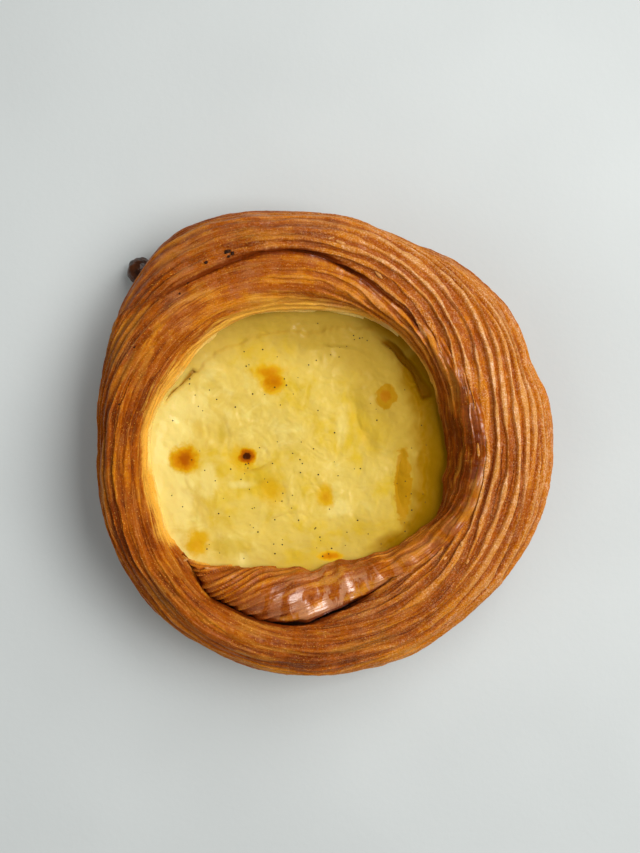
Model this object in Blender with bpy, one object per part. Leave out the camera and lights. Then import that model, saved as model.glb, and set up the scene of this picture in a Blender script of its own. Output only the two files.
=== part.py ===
"""Round danish pastry: a strip of laminated dough coiled nearly two turns round a well of custard.

Units are metres and +Z is up. The origin is the middle of the pastry on the surface it lies on.
Plan angles turn anticlockwise from +X, and radii are taken from the middle of the coil. The coil
angle counts on past a full turn, so one number says both the direction and which turn is meant.
Each surface is a grid whose columns follow the coil angle, bent into place by the functions below
and welded to its neighbours where they share an edge.
"""

import math

import bmesh
import bpy
from mathutils import Vector

MM = 0.001

# Coil: where the strip begins and ends, and how finely it is divided.
COIL_MIDDLE = Vector((-5.0 * MM, 0.0, 0.0))
COIL_START = math.radians(222.0)
COLUMNS_PER_TURN = 72
STRIP_COLUMNS = 131
LEAF_ROWS = 16
COLUMN_STEP = math.tau / COLUMNS_PER_TURN
TURN = math.tau
SEAM_END = COIL_START + STRIP_COLUMNS * COLUMN_STEP - TURN
COIL_END = SEAM_END + TURN

# Radii at the twelve hours of a clock face, anticlockwise from three o'clock, in millimetres.
WELL_RADII = (32.9, 33.4, 33.2, 31.3, 32.7, 33.2, 36.0, 36.0, 32.4, 28.8, 30.4, 34.6)
RIM_RADII = (59.6, 58.6, 55.2, 55.2, 59.0, 52.6, 49.2, 51.6, 54.0, 55.7, 56.6, 58.2)
# Dents in the outline where one leaf stops short of the next: direction, width and depth.
RIM_DENTS = (
    (math.radians(20.0), math.radians(5.0), 1.2 * MM),
    (math.radians(64.0), math.radians(7.0), 0.9 * MM),
    (math.radians(146.0), math.radians(6.0), -0.7 * MM),
)
# The corner of the well where the strip's inner end tucks in.
CORNER_DEPTH = 3.6 * MM
CORNER_WIDTH = math.radians(9.0)
# Radii of the seam between the two turns, every 30 degrees from 240 degrees on, in millimetres.
SEAM_FIRST = math.radians(240.0)
SEAM_STEP = math.radians(30.0)
SEAM_RADII = (41.3, 40.9, 36.9, 40.2, 40.7, 38.3, 39.4, 45.0, 45.8, 47.8)

# Heights.
CREST_HEIGHT = 29.4 * MM
CREST_LEAN = 1.7 * MM
HIGH_SIDE = math.radians(15.0)
TIP_DROP = 6.5 * MM
TIP_FADE = math.radians(45.0)
NOSE_LENGTH = math.radians(14.0)
TAIL_FADE = math.radians(42.0)
WELL_EDGE_HEIGHT = 19.5 * MM
WELL_FLOOR_HEIGHT = 7.0 * MM
BULGE_HEIGHT = 12.5 * MM
SEAM_DEPTH = 4.2 * MM
SHALLOW_SEAM_DEPTH = 1.0 * MM
SEAM_FADE = math.radians(26.0)

# Where the crest lies across the strip, as a share of its width, on the first and second turn,
# and how far it shifts on the high side.
FIRST_CREST_SHARE = 0.52
FIRST_CREST_SHIFT = 0.36
SECOND_CREST_SHARE = 0.36
SECOND_CREST_SHIFT = -0.12
CREST_FADE = math.radians(50.0)

# Leaf ridges: how far they stand out as a share of their spacing, and at most.
RIDGE_SHARE = 0.34
RIDGE_LIMIT = 0.75 * MM

# Well and side.
WELL_FILLET = 4.0 * MM
WALL_ROWS = 4
FLOOR_ROWS = 3
UNDERCUT = 5.0 * MM
SOLE_INSET = 1.4 * MM
SOLE_CHAMFER = 0.9 * MM
SIDE_ROWS = 8
SOLE_ROWS = 2

# Custard.
GAP = 0.4 * MM
CUSTARD_RIM_HEIGHT = 19.2 * MM
CUSTARD_DIP = 1.3 * MM
CUSTARD_SWELL = 0.45 * MM
CUSTARD_ROWS = 6

# Burnt bead of filling beside the crust.
BEAD_DIRECTION = math.radians(134.0)
BEAD_RADIUS = 59.3 * MM
BEAD_HALF_LENGTH = 3.7 * MM
BEAD_HALF_WIDTH = 3.0 * MM
BEAD_HALF_HEIGHT = 3.4 * MM
BEAD_FOOT = 0.3 * MM

CRUST_COLOUR = (0.36, 0.12, 0.018, 1.0)
CUSTARD_COLOUR = (0.78, 0.52, 0.11, 1.0)
BEAD_COLOUR = (0.03, 0.008, 0.003, 1.0)


def smooth_step(value):
    """Ease from 0 to 1 as value goes from 0 to 1."""
    value = min(max(value, 0.0), 1.0)
    return value * value * (3.0 - 2.0 * value)


def spline(values, place):
    """Read a list of evenly spaced values at a fractional place, with a smooth curve."""
    last = len(values) - 1
    index = min(max(int(math.floor(place)), 0), last - 1)
    part = place - index
    before = values[max(index - 1, 0)]
    start = values[index]
    end = values[index + 1]
    after = values[min(index + 2, last)]
    slope_in = (end - before) / 2.0
    slope_out = (after - start) / 2.0
    bend = 2.0 * (start - end) + slope_in + slope_out
    ease = 3.0 * (end - start) - 2.0 * slope_in - slope_out
    return ((bend * part + ease) * part + slope_in) * part + start


def clock_value(values, angle):
    """Read a round of twelve values at a plan angle."""
    place = (math.degrees(angle) / 30.0) % 12.0
    ring = values[-2:] + values + values[:3]
    return spline(ring, place + 2.0)


def angle_between(first, second):
    """Signed smallest angle from second to first."""
    return (first - second + math.pi) % TURN - math.pi


def well_radius(angle):
    """Plan radius of the custard's edge."""
    corner = math.exp(-0.5 * (angle_between(angle, COIL_START) / CORNER_WIDTH) ** 2)
    return clock_value(WELL_RADII, angle) * MM + CORNER_DEPTH * corner


def rim_radius(angle):
    """Plan radius of the pastry's outline."""
    radius = clock_value(RIM_RADII, angle) * MM
    for direction, width, depth in RIM_DENTS:
        radius -= depth * math.exp(-0.5 * (angle_between(angle, direction) / width) ** 2)
    return radius


def seam_radius(angle):
    """Plan radius of the seam between the turns, from the strip's tip to where its tail ends."""
    middle = spline(SEAM_RADII, (angle - SEAM_FIRST) / SEAM_STEP) * MM
    tip = 1.0 - smooth_step((angle - COIL_START) / (SEAM_FIRST - COIL_START))
    tail = smooth_step((angle - SEAM_END) / math.radians(24.0) + 1.0)
    radius = middle + (well_radius(COIL_START) - middle) * tip
    return radius + (rim_radius(SEAM_END) - radius) * tail


def rightness(angle):
    """How far a direction looks towards the high side, where the turns open into a plain slope."""
    return smooth_step(1.3 * math.cos(angle_between(angle, HIGH_SIDE)) - 0.3)


def crest_height(angle):
    """Height of the strip's crest at a coil angle."""
    height = CREST_HEIGHT + CREST_LEAN * math.cos(angle - HIGH_SIDE)
    height -= TIP_DROP * math.exp(-(angle - COIL_START) / TIP_FADE)
    back = 1.0 - min((angle - COIL_START) / NOSE_LENGTH, 1.0)
    height = WELL_EDGE_HEIGHT + (height - WELL_EDGE_HEIGHT) * math.sqrt(1.0 - back * back)
    tail = smooth_step((COIL_END - angle) / TAIL_FADE)
    return BULGE_HEIGHT + (height - BULGE_HEIGHT) * tail


def seam_height(angle):
    """Height of the valley between the turns at the first turn's coil angle."""
    depth = SEAM_DEPTH + (SHALLOW_SEAM_DEPTH - SEAM_DEPTH) * rightness(angle)
    height = min(crest_height(angle), crest_height(angle + TURN)) - depth
    tip = smooth_step((angle - COIL_START) / SEAM_FADE)
    tail = smooth_step((SEAM_END - angle) / TAIL_FADE)
    height = WELL_EDGE_HEIGHT + (height - WELL_EDGE_HEIGHT) * tip
    return BULGE_HEIGHT + (height - BULGE_HEIGHT) * tail


def inner_edge(angle):
    """Radius and height of the strip's inner edge at a coil angle."""
    if angle < COIL_START + TURN - COLUMN_STEP / 2.0:
        return well_radius(angle), WELL_EDGE_HEIGHT
    return seam_radius(angle - TURN), seam_height(angle - TURN)


def outer_edge(angle):
    """Radius and height of the strip's outer edge at a coil angle."""
    if angle < SEAM_END + COLUMN_STEP / 2.0:
        return seam_radius(angle), seam_height(angle)
    return rim_radius(angle), BULGE_HEIGHT


def crest_radius(angle):
    """Plan radius of the strip's crest at a coil angle."""
    inner_r = inner_edge(angle)[0]
    outer_r = outer_edge(angle)[0]
    first_share = FIRST_CREST_SHARE + FIRST_CREST_SHIFT * rightness(angle)
    second_share = SECOND_CREST_SHARE + SECOND_CREST_SHIFT * rightness(angle)
    second = smooth_step((angle - COIL_START - TURN) / CREST_FADE + 0.5)
    share = first_share + (second_share - first_share) * second
    corner = CORNER_DEPTH * math.exp(-0.5 * ((angle - COIL_START - TURN) / CORNER_WIDTH) ** 2)
    smooth_inner_r = inner_r - corner
    return smooth_inner_r + (outer_r - smooth_inner_r) * share


def leaf_profile(angle):
    """Radius and height of each row across the strip's top, inner edge first, before ridges."""
    inner_r, inner_z = inner_edge(angle)
    outer_r, outer_z = outer_edge(angle)
    crest_z = crest_height(angle)
    crest_r = crest_radius(angle)
    inner_rows = LEAF_ROWS // 2 - 1
    points = []
    for row in range(LEAF_ROWS + 1):
        if row <= inner_rows:
            turn = (1.0 - row / inner_rows) * math.pi / 2.0
            radius = crest_r - (crest_r - inner_r) * math.sin(turn)
            height = inner_z + (crest_z - inner_z) * math.cos(turn) ** 0.8
        else:
            turn = (row - inner_rows) / (LEAF_ROWS - inner_rows) * math.pi / 2.0
            radius = crest_r + (outer_r - crest_r) * math.sin(turn)
            height = outer_z + (crest_z - outer_z) * math.cos(turn) ** 0.8
        points.append((radius, height))
    points[0] = (inner_r, inner_z)
    points[-1] = (outer_r, outer_z)
    return points


def with_ridges(points, first_row, last_row):
    """Raise every other row from first_row to last_row as a ridge and sink the next as a groove."""
    ridged = points[:first_row]
    for row in range(first_row, last_row + 1):
        radius, height = points[row]
        along_r = points[row + 1][0] - points[row - 1][0]
        along_z = points[row + 1][1] - points[row - 1][1]
        span = math.hypot(along_r, along_z)
        if span > 0.0:
            reach = min(RIDGE_LIMIT, RIDGE_SHARE * span / 2.0)
            side = 1.0 if row % 2 else -1.0
            radius -= side * reach * along_z / span
            height += side * reach * along_r / span
        ridged.append((radius, height))
    return ridged + points[last_row + 1:]


def strip_profile(angle):
    """The strip's rows with their leaf ridges."""
    return with_ridges(leaf_profile(angle), 1, LEAF_ROWS - 1)


def well_profile(angle):
    """Radius and height down the well's wall and over its floor to the middle."""
    radius = well_radius(angle)
    depth = WELL_EDGE_HEIGHT - WELL_FLOOR_HEIGHT
    points = []
    for row in range(WALL_ROWS + 1):
        turn = row / WALL_ROWS * math.pi / 2.0
        inset = WELL_FILLET * (1.0 - math.cos(turn))
        points.append((radius - inset, WELL_EDGE_HEIGHT - depth * math.sin(turn)))
    foot = radius - WELL_FILLET
    for row in range(1, FLOOR_ROWS + 1):
        points.append((foot * (1.0 - row / FLOOR_ROWS), WELL_FLOOR_HEIGHT))
    return points


def side_profile(angle):
    """Radius and height from the widest line of the side down to the sole and in to the middle."""
    radius = rim_radius(angle)
    points = []
    for row in range(SIDE_ROWS):
        turn = row / (SIDE_ROWS - 1) * math.pi / 2.0
        inset = UNDERCUT * (1.0 - math.cos(turn)) ** 1.2
        drop = (BULGE_HEIGHT - SOLE_CHAMFER) * math.sin(turn)
        points.append((radius - inset, BULGE_HEIGHT - drop))
    points = with_ridges(points, 1, SIDE_ROWS - 2)
    sole = radius - UNDERCUT - SOLE_INSET
    for row in range(SOLE_ROWS + 1):
        points.append((sole * (1.0 - row / SOLE_ROWS), 0.0))
    return points


def custard_profile(angle):
    """Radius and height over the custard from the middle of its top to the middle of its base."""
    edge = well_radius(angle) - GAP
    points = []
    for row in range(CUSTARD_ROWS + 1):
        share = row / CUSTARD_ROWS
        swell = CUSTARD_SWELL * share * (1.0 - share) * 4.0 * math.sin(3.0 * angle + 5.0 * share)
        height = CUSTARD_RIM_HEIGHT - CUSTARD_DIP * (1.0 - share ** 3.0) + swell
        points.append((edge * share, height))
    base = WELL_FLOOR_HEIGHT + GAP
    depth = CUSTARD_RIM_HEIGHT - base
    for row in range(1, WALL_ROWS + 1):
        turn = row / WALL_ROWS * math.pi / 2.0
        inset = WELL_FILLET * (1.0 - math.cos(turn))
        points.append((edge - inset, CUSTARD_RIM_HEIGHT - depth * math.sin(turn)))
    points.append((0.0, base))
    return points


def coil_point(angle, radius, height):
    """Point at a coil angle, a plan radius from the coil's middle, and a height."""
    flat = Vector((math.cos(angle) * radius, math.sin(angle) * radius, height))
    return COIL_MIDDLE + flat


def add_sheet(mesh, columns, first_angle, profile):
    """Add a grid whose columns are the profile at successive coil angles."""
    rows = len(profile(first_angle)) - 1
    made = bmesh.ops.create_grid(mesh, x_segments=columns, y_segments=rows, size=1.0)
    lines = [profile(first_angle + column * COLUMN_STEP) for column in range(columns + 1)]
    for vert in made["verts"]:
        column = round((vert.co.x + 1.0) / 2.0 * columns)
        row = round((vert.co.y + 1.0) / 2.0 * rows)
        radius, height = lines[column][row]
        vert.co = coil_point(first_angle + column * COLUMN_STEP, radius, height)


def close_body(mesh):
    """Weld the sheets along their shared edges and turn every face outwards."""
    bmesh.ops.remove_doubles(mesh, verts=mesh.verts[:], dist=0.01 * MM)
    bmesh.ops.triangulate(mesh, faces=mesh.faces[:])
    bmesh.ops.recalc_face_normals(mesh, faces=mesh.faces[:])


def material(name, colour, roughness):
    """A plain Principled material."""
    made = bpy.data.materials.new(name)
    made.use_nodes = True
    shader = made.node_tree.nodes["Principled BSDF"]
    shader.inputs["Base Color"].default_value = colour
    shader.inputs["Roughness"].default_value = roughness
    shader.inputs["Metallic"].default_value = 0.0
    return made


def add_object(name, mesh, finish, collection):
    """Put a finished mesh in the collection as a smooth-shaded object."""
    data = bpy.data.meshes.new(name)
    mesh.to_mesh(data)
    mesh.free()
    data.shade_smooth()
    data.set_sharp_from_angle(angle=math.radians(50.0))
    data.materials.append(finish)
    made = bpy.data.objects.new(name, data)
    collection.objects.link(made)
    return made


def build_pastry(collection):
    """The coiled strip, the well that it encloses, its side and its sole, as one closed body."""
    mesh = bmesh.new()
    add_sheet(mesh, STRIP_COLUMNS, COIL_START, strip_profile)
    add_sheet(mesh, COLUMNS_PER_TURN, COIL_START, well_profile)
    add_sheet(mesh, COLUMNS_PER_TURN, SEAM_END, side_profile)
    close_body(mesh)
    add_object("pastry", mesh, material("baked_dough", CRUST_COLOUR, 0.42), collection)


def build_custard(collection):
    """The custard that fills the well to just under its edge."""
    mesh = bmesh.new()
    add_sheet(mesh, COLUMNS_PER_TURN, COIL_START, custard_profile)
    close_body(mesh)
    add_object("custard", mesh, material("custard_cream", CUSTARD_COLOUR, 0.4), collection)


def build_bead(collection):
    """A bead of filling that ran out beside the crust and burnt."""
    mesh = bmesh.new()
    bmesh.ops.create_uvsphere(mesh, u_segments=16, v_segments=10, radius=1.0)
    out = Vector((math.cos(BEAD_DIRECTION), math.sin(BEAD_DIRECTION), 0.0))
    along = Vector((-out.y, out.x, 0.0))
    middle = COIL_MIDDLE + out * BEAD_RADIUS
    for vert in mesh.verts:
        flat = out * (vert.co.x * BEAD_HALF_WIDTH) + along * (vert.co.y * BEAD_HALF_LENGTH)
        lift = max(BEAD_HALF_HEIGHT * (1.0 + vert.co.z), BEAD_FOOT)
        vert.co = middle + flat + Vector((0.0, 0.0, lift))
    close_body(mesh)
    add_object("burnt_bead", mesh, material("burnt_sugar", BEAD_COLOUR, 0.22), collection)


def main():
    """Clear the scene and build the pastry, its custard and the bead."""
    for old in list(bpy.data.objects):
        bpy.data.objects.remove(old, do_unlink=True)
    collection = bpy.data.collections.new("danish_pastry")
    bpy.context.scene.collection.children.link(collection)
    build_pastry(collection)
    build_custard(collection)
    build_bead(collection)


main()
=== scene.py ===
"""Round custard danish: the look of the pastry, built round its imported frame.

A strip of laminated dough is coiled nearly two turns round a well of vanilla custard. The coil angle
counts on past a full turn, so one number says both the direction from the coil's middle and the
turn that is meant. Sizes are in millimetres inside the classes and become metres when a mesh is made.
"""

from __future__ import annotations

import logging
import math
from dataclasses import dataclass
from enum import Enum
from typing import Any

import bmesh
import bpy
import numpy as np
from mathutils import Matrix, Vector

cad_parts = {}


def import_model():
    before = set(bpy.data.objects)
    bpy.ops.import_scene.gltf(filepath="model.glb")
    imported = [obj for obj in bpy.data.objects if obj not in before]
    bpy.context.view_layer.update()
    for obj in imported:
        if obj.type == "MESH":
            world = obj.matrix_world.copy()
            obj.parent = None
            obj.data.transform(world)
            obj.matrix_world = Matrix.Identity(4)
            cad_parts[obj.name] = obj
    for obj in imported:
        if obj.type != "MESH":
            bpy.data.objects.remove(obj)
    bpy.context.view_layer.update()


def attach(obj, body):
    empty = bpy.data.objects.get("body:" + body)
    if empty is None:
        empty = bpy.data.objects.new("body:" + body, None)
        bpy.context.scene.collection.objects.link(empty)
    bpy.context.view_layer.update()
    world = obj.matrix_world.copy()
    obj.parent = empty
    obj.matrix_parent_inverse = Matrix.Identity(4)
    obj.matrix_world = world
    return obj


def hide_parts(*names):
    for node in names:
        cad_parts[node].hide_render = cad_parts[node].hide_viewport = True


LOG = logging.getLogger("danish")
MM = 0.001
TURN = 360.0
HALF_TURN = 180.0
QUARTER = math.pi / 2.0
STATION = 30.0  # degrees between the stations of a table along the strip
RUN_RADIUS = 46.0  # plan radius at which the strip's run is measured
SIDE_FROM = 9.0  # length past the crest from which the strip's outer side turns down
ROUNDNESS = 0.85  # power of the crust's cross-section; 1 is an ellipse and less is squarer
SHARP_EDGE = 50.0  # degrees between faces past which an edge is shaded sharp
BODY = "root"
LIFT = "lift"

Colour = tuple[float, float, float, float]
Tint = tuple[float, float, float]
Place = tuple[float, float]
Spot = tuple[float, float, float]


# ---------------------------------------------------------------------------------------------
# Curves through evenly spaced stations
# ---------------------------------------------------------------------------------------------


def spline(values: tuple[float, ...], place: np.ndarray) -> np.ndarray:
    """Read evenly spaced values at fractional places with a smooth curve.

    Args:
        values: The values at places 0, 1, 2 and so on.
        place: Where to read them.

    Returns:
        The value at each place, held at the ends.
    """
    table = np.asarray(values, float)
    last = len(table) - 1
    place = np.clip(place, 0.0, last)
    index = np.minimum(place.astype(int), last - 1)
    part = place - index
    before = table[np.maximum(index - 1, 0)]
    start = table[index]
    end = table[index + 1]
    after = table[np.minimum(index + 2, last)]
    slope_in = (end - before) / 2.0
    slope_out = (after - start) / 2.0
    bend = 2.0 * (start - end) + slope_in + slope_out
    curve = 3.0 * (end - start) - 2.0 * slope_in - slope_out
    return ((bend * part + curve) * part + slope_in) * part + start


def ring_spline(values: tuple[float, ...], angle: np.ndarray) -> np.ndarray:
    """Read a closed ring of evenly spaced values.

    Args:
        values: The values, the first at angle 0.
        angle: Plan angles in degrees, of any turn.

    Returns:
        The value at each angle.
    """
    step = TURN / len(values)
    ring = values[-2:] + values + values[:3]
    return spline(ring, (angle / step) % len(values) + 2.0)


def ease(value: np.ndarray) -> np.ndarray:
    """Smooth step from 0 to 1 as the value goes from 0 to 1."""
    value = np.clip(value, 0.0, 1.0)
    return value * value * (3.0 - 2.0 * value)


def hump(angle: np.ndarray, middle: float, width: float) -> np.ndarray:
    """Bell of height 1 round a plan angle, in degrees, that knows a full turn."""
    away = (angle - middle + HALF_TURN) % TURN - HALF_TURN
    return np.exp(-0.5 * (away / width) ** 2)


# ---------------------------------------------------------------------------------------------
# Node trees written as expressions
# ---------------------------------------------------------------------------------------------


class Signal:
    """An output socket of a tree, on which Python's operators add Math nodes."""

    def __init__(self, graph: Graph, socket: bpy.types.NodeSocket) -> None:
        """Wrap a socket of a graph."""
        self.graph = graph
        self.socket = socket

    def __add__(self, other: Any) -> Signal:
        """Sum."""
        return self.graph.math("ADD", self, other)

    __radd__ = __add__

    def __sub__(self, other: Any) -> Signal:
        """Difference."""
        return self.graph.math("SUBTRACT", self, other)

    def __rsub__(self, other: Any) -> Signal:
        """Difference from a number."""
        return self.graph.math("SUBTRACT", other, self)

    def __mul__(self, other: Any) -> Signal:
        """Product."""
        return self.graph.math("MULTIPLY", self, other)

    __rmul__ = __mul__

    def __truediv__(self, other: Any) -> Signal:
        """Quotient."""
        return self.graph.math("DIVIDE", self, other)

    def __rtruediv__(self, other: Any) -> Signal:
        """Quotient of a number."""
        return self.graph.math("DIVIDE", other, self)


class Graph:
    """A node tree with one method that adds any node."""

    def __init__(self, tree: bpy.types.NodeTree) -> None:
        """Empty a tree and hold it."""
        self.tree = tree
        tree.nodes.clear()

    def node(self, kind: str, settings: dict | None = None, inputs: dict | None = None) -> bpy.types.Node:
        """Add a node.

        Args:
            kind: The node's type.
            settings: Its properties, which are set first.
            inputs: A value or link for sockets, by index, identifier or name.

        Returns:
            The node.
        """
        node = self.tree.nodes.new(kind)
        for name, value in (settings or {}).items():
            setattr(node, name, value)
        for key, value in (inputs or {}).items():
            self._feed(self._find(node, key), value)
        return node

    @staticmethod
    def _find(node: bpy.types.Node, key: int | str) -> bpy.types.NodeSocket:
        """Find an input socket of a node.

        Args:
            node: The node.
            key: The socket's index, identifier or name.

        Returns:
            The socket.
        """
        if isinstance(key, int):
            return node.inputs[key]
        for socket in node.inputs:
            if socket.identifier == key:
                return socket
        return node.inputs[key]

    def _feed(self, socket: bpy.types.NodeSocket, value: Any) -> None:
        """Link or set a socket.

        Args:
            socket: The input socket.
            value: A signal or output to link, or a value to set.
        """
        if isinstance(value, Signal):
            self.tree.links.new(value.socket, socket)
        elif isinstance(value, bpy.types.NodeSocket):
            self.tree.links.new(value, socket)
        else:
            socket.default_value = value

    def out(self, node: bpy.types.Node, key: int | str = 0) -> Signal:
        """Wrap one of a node's outputs."""
        return Signal(self, node.outputs[key])

    def math(self, operation: str, *values: Any) -> Signal:
        """Add a Math node."""
        inputs = dict(enumerate(values))
        return self.out(self.node("ShaderNodeMath", {"operation": operation}, inputs))

    def smooth(self, value: Signal, low: float, high: float) -> Signal:
        """Ease from 0 to 1 between two values.

        Args:
            value: What is eased.
            low: Where the result is 0.
            high: Where the result is 1, which may lie below low.

        Returns:
            The eased signal.
        """
        settings = {"interpolation_type": "SMOOTHSTEP", "clamp": True}
        if low < high:
            return self.out(self.node("ShaderNodeMapRange", settings, {0: value, 1: low, 2: high}))
        made = self.node("ShaderNodeMapRange", settings, {0: value, 1: high, 2: low, 3: 1.0, 4: 0.0})
        return self.out(made)

    def clamp(self, value: Signal) -> Signal:
        """Hold a value between 0 and 1."""
        return self.out(self.node("ShaderNodeClamp", {}, {0: value}))

    def vector(self, x: Any, y: Any, z: Any) -> Signal:
        """Put three values together as a vector."""
        return self.out(self.node("ShaderNodeCombineXYZ", {}, {0: x, 1: y, 2: z}))

    def vector_math(self, operation: str, inputs: dict, output: int = 0) -> Signal:
        """Add a Vector Math node."""
        made = self.node("ShaderNodeVectorMath", {"operation": operation}, inputs)
        return self.out(made, output)

    def noise(
        self, vector: Signal, scale: float, detail: float = 2.0, rough: float = 0.5, twist: float = 0.0
    ) -> Signal:
        """Noise from 0 to 1, about 0.5 on average.

        Args:
            vector: Where it is read.
            scale: How many lumps there are in a unit.
            detail: How many finer layers it has.
            rough: How strong those layers are.
            twist: How far it is distorted.

        Returns:
            The noise.
        """
        settings = {"noise_dimensions": "3D"}
        inputs = {"Vector": vector, "Scale": scale, "Detail": detail, "Roughness": rough, "Distortion": twist}
        return self.out(self.node("ShaderNodeTexNoise", settings, inputs))

    def strands(
        self, across: Signal, along: Signal, seed: Any, detail: float, rough: float = 0.5, twist: float = 0.0
    ) -> Signal:
        """Noise read at a place across the leaves, a place along them and a seed."""
        return self.noise(self.vector(across, along, seed), 1.0, detail, rough, twist)

    def mix(self, factor: Any, first: Any, second: Any) -> Signal:
        """Blend two colours.

        Args:
            factor: The share of the second.
            first: The first colour.
            second: The second colour.

        Returns:
            The blended colour.
        """
        inputs = {"Factor_Float": factor, "A_Color": first, "B_Color": second}
        made = self.node("ShaderNodeMix", {"data_type": "RGBA"}, inputs)
        return Signal(self, next(socket for socket in made.outputs if socket.identifier == "Result_Color"))


class FinishGraph(Graph):
    """A material's tree round one Principled shader."""

    def __init__(self, material: bpy.types.Material, constants: dict[str, Any]) -> None:
        """Start the tree with its shader and output.

        Args:
            material: The material to fill.
            constants: Values of shader sockets that are the same all over.
        """
        material.use_nodes = True
        super().__init__(material.node_tree)
        self.shader = self.node("ShaderNodeBsdfPrincipled", {}, constants)
        self.node("ShaderNodeOutputMaterial", {}, {"Surface": self.shader.outputs[0]})
        coordinates = self.node("ShaderNodeTexCoord")
        self.place = self.vector_math("SCALE", {0: coordinates.outputs["Object"], "Scale": 1.0 / MM})

    def attribute(self, name: str) -> Signal:
        """Read a named value of the mesh."""
        made = self.node("ShaderNodeAttribute", {"attribute_name": name})
        return self.out(made, "Fac")

    def stain(self, colour: Any, value: Signal, *steps: tuple[float, float, Colour]) -> Signal:
        """Lay further colours over a colour as a value rises.

        Args:
            colour: The colour below.
            value: What the steps are read from.
            steps: For each colour, the values at which it starts and is full, and the colour itself.

        Returns:
            The stained colour.
        """
        for low, high, tint in steps:
            colour = self.mix(self.smooth(value, low, high), colour, tint)
        return colour

    def drive(self, name: str, value: Signal) -> None:
        """Link a value or colour to a socket of the shader."""
        self.tree.links.new(value.socket, self.shader.inputs[name])

    def bump(self, height: Signal, distance: float) -> None:
        """Feed the shader's normal from a height, of which 1 stands for a distance in millimetres."""
        made = self.node("ShaderNodeBump", {}, {"Strength": 1.0, "Distance": distance * MM, "Height": height})
        self.tree.links.new(made.outputs[0], self.shader.inputs["Normal"])


class FormGraph(Graph):
    """A Geometry Nodes tree with named inputs."""

    def __init__(self, name: str, sizes: dict[str, float]) -> None:
        """Start a tree.

        Args:
            name: The tree's name.
            sizes: Its number inputs and their values.
        """
        super().__init__(bpy.data.node_groups.new(name, "GeometryNodeTree"))
        face = self.tree.interface
        face.new_socket(name="Geometry", in_out="INPUT", socket_type="NodeSocketGeometry")
        self.keys = {}
        for label, value in sizes.items():
            kind = "NodeSocketInt" if isinstance(value, int) else "NodeSocketFloat"
            socket = face.new_socket(name=label, in_out="INPUT", socket_type=kind)
            self.keys[socket.identifier] = value
        face.new_socket(name="Geometry", in_out="OUTPUT", socket_type="NodeSocketGeometry")
        self.source = self.node("NodeGroupInput")
        self.geometry = self.source.outputs["Geometry"]

    def size(self, label: str) -> Signal:
        """A named input of the tree."""
        return self.out(self.source, label)

    def attribute(self, name: str) -> Signal:
        """Read a named value of the mesh."""
        made = self.node("GeometryNodeInputNamedAttribute", {"data_type": "FLOAT"}, {"Name": name})
        return self.out(made)

    def store(self, name: str, value: Signal) -> None:
        """Store a named value on the points of the geometry.

        Args:
            name: The value's name.
            value: What is stored.
        """
        settings = {"data_type": "FLOAT", "domain": "POINT"}
        inputs = {"Geometry": self.geometry, "Name": name, "Value": value}
        self.geometry = self.node("GeometryNodeStoreNamedAttribute", settings, inputs).outputs[0]

    def push(self, distance: Signal, way: bpy.types.NodeSocket) -> None:
        """Move the geometry's points.

        Args:
            distance: How far, in metres.
            way: The direction, as a vector output.
        """
        offset = self.vector_math("SCALE", {0: way, "Scale": distance})
        inputs = {"Geometry": self.geometry, "Offset": offset}
        self.geometry = self.node("GeometryNodeSetPosition", {}, inputs).outputs[0]

    def lift(self) -> bpy.types.NodeSocket:
        """The way that relief pushes each point."""
        made = self.node("GeometryNodeInputNamedAttribute", {"data_type": "FLOAT_VECTOR"}, {"Name": LIFT})
        return made.outputs[0]

    def position(self) -> Signal:
        """The points' places in millimetres."""
        where = self.node("GeometryNodeInputPosition").outputs[0]
        return self.vector_math("SCALE", {0: where, "Scale": 1.0 / MM})

    def finish(self, material: bpy.types.Material) -> None:
        """End the tree with real geometry in one material.

        Args:
            material: The material.
        """
        real = self.node("GeometryNodeRealizeInstances", {}, {"Geometry": self.geometry})
        inputs = {"Geometry": real.outputs[0], "Material": material}
        dressed = self.node("GeometryNodeSetMaterial", {}, inputs)
        self.node("NodeGroupOutput", {}, {"Geometry": dressed.outputs[0]})

    def apply(self, item: bpy.types.Object) -> bpy.types.Object:
        """Run the tree on an object and keep the result as its plain mesh.

        Args:
            item: The object.

        Returns:
            The same object, with the finished mesh and no modifier.
        """
        modifier = item.modifiers.new("form", "NODES")
        modifier.node_group = self.tree
        for key, value in self.keys.items():
            modifier[key] = value
        bpy.context.view_layer.update()
        graph = bpy.context.evaluated_depsgraph_get()
        result = item.evaluated_get(graph)
        mesh = bpy.data.meshes.new_from_object(result, preserve_all_data_layers=True, depsgraph=graph)
        item.modifiers.clear()
        item.data = mesh
        mesh.name = item.name
        if LIFT in mesh.attributes:
            mesh.attributes.remove(mesh.attributes[LIFT])
        mesh.shade_smooth()
        mesh.set_sharp_from_angle(angle=math.radians(SHARP_EDGE))
        return item


# ---------------------------------------------------------------------------------------------
# Finishes
# ---------------------------------------------------------------------------------------------


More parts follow.
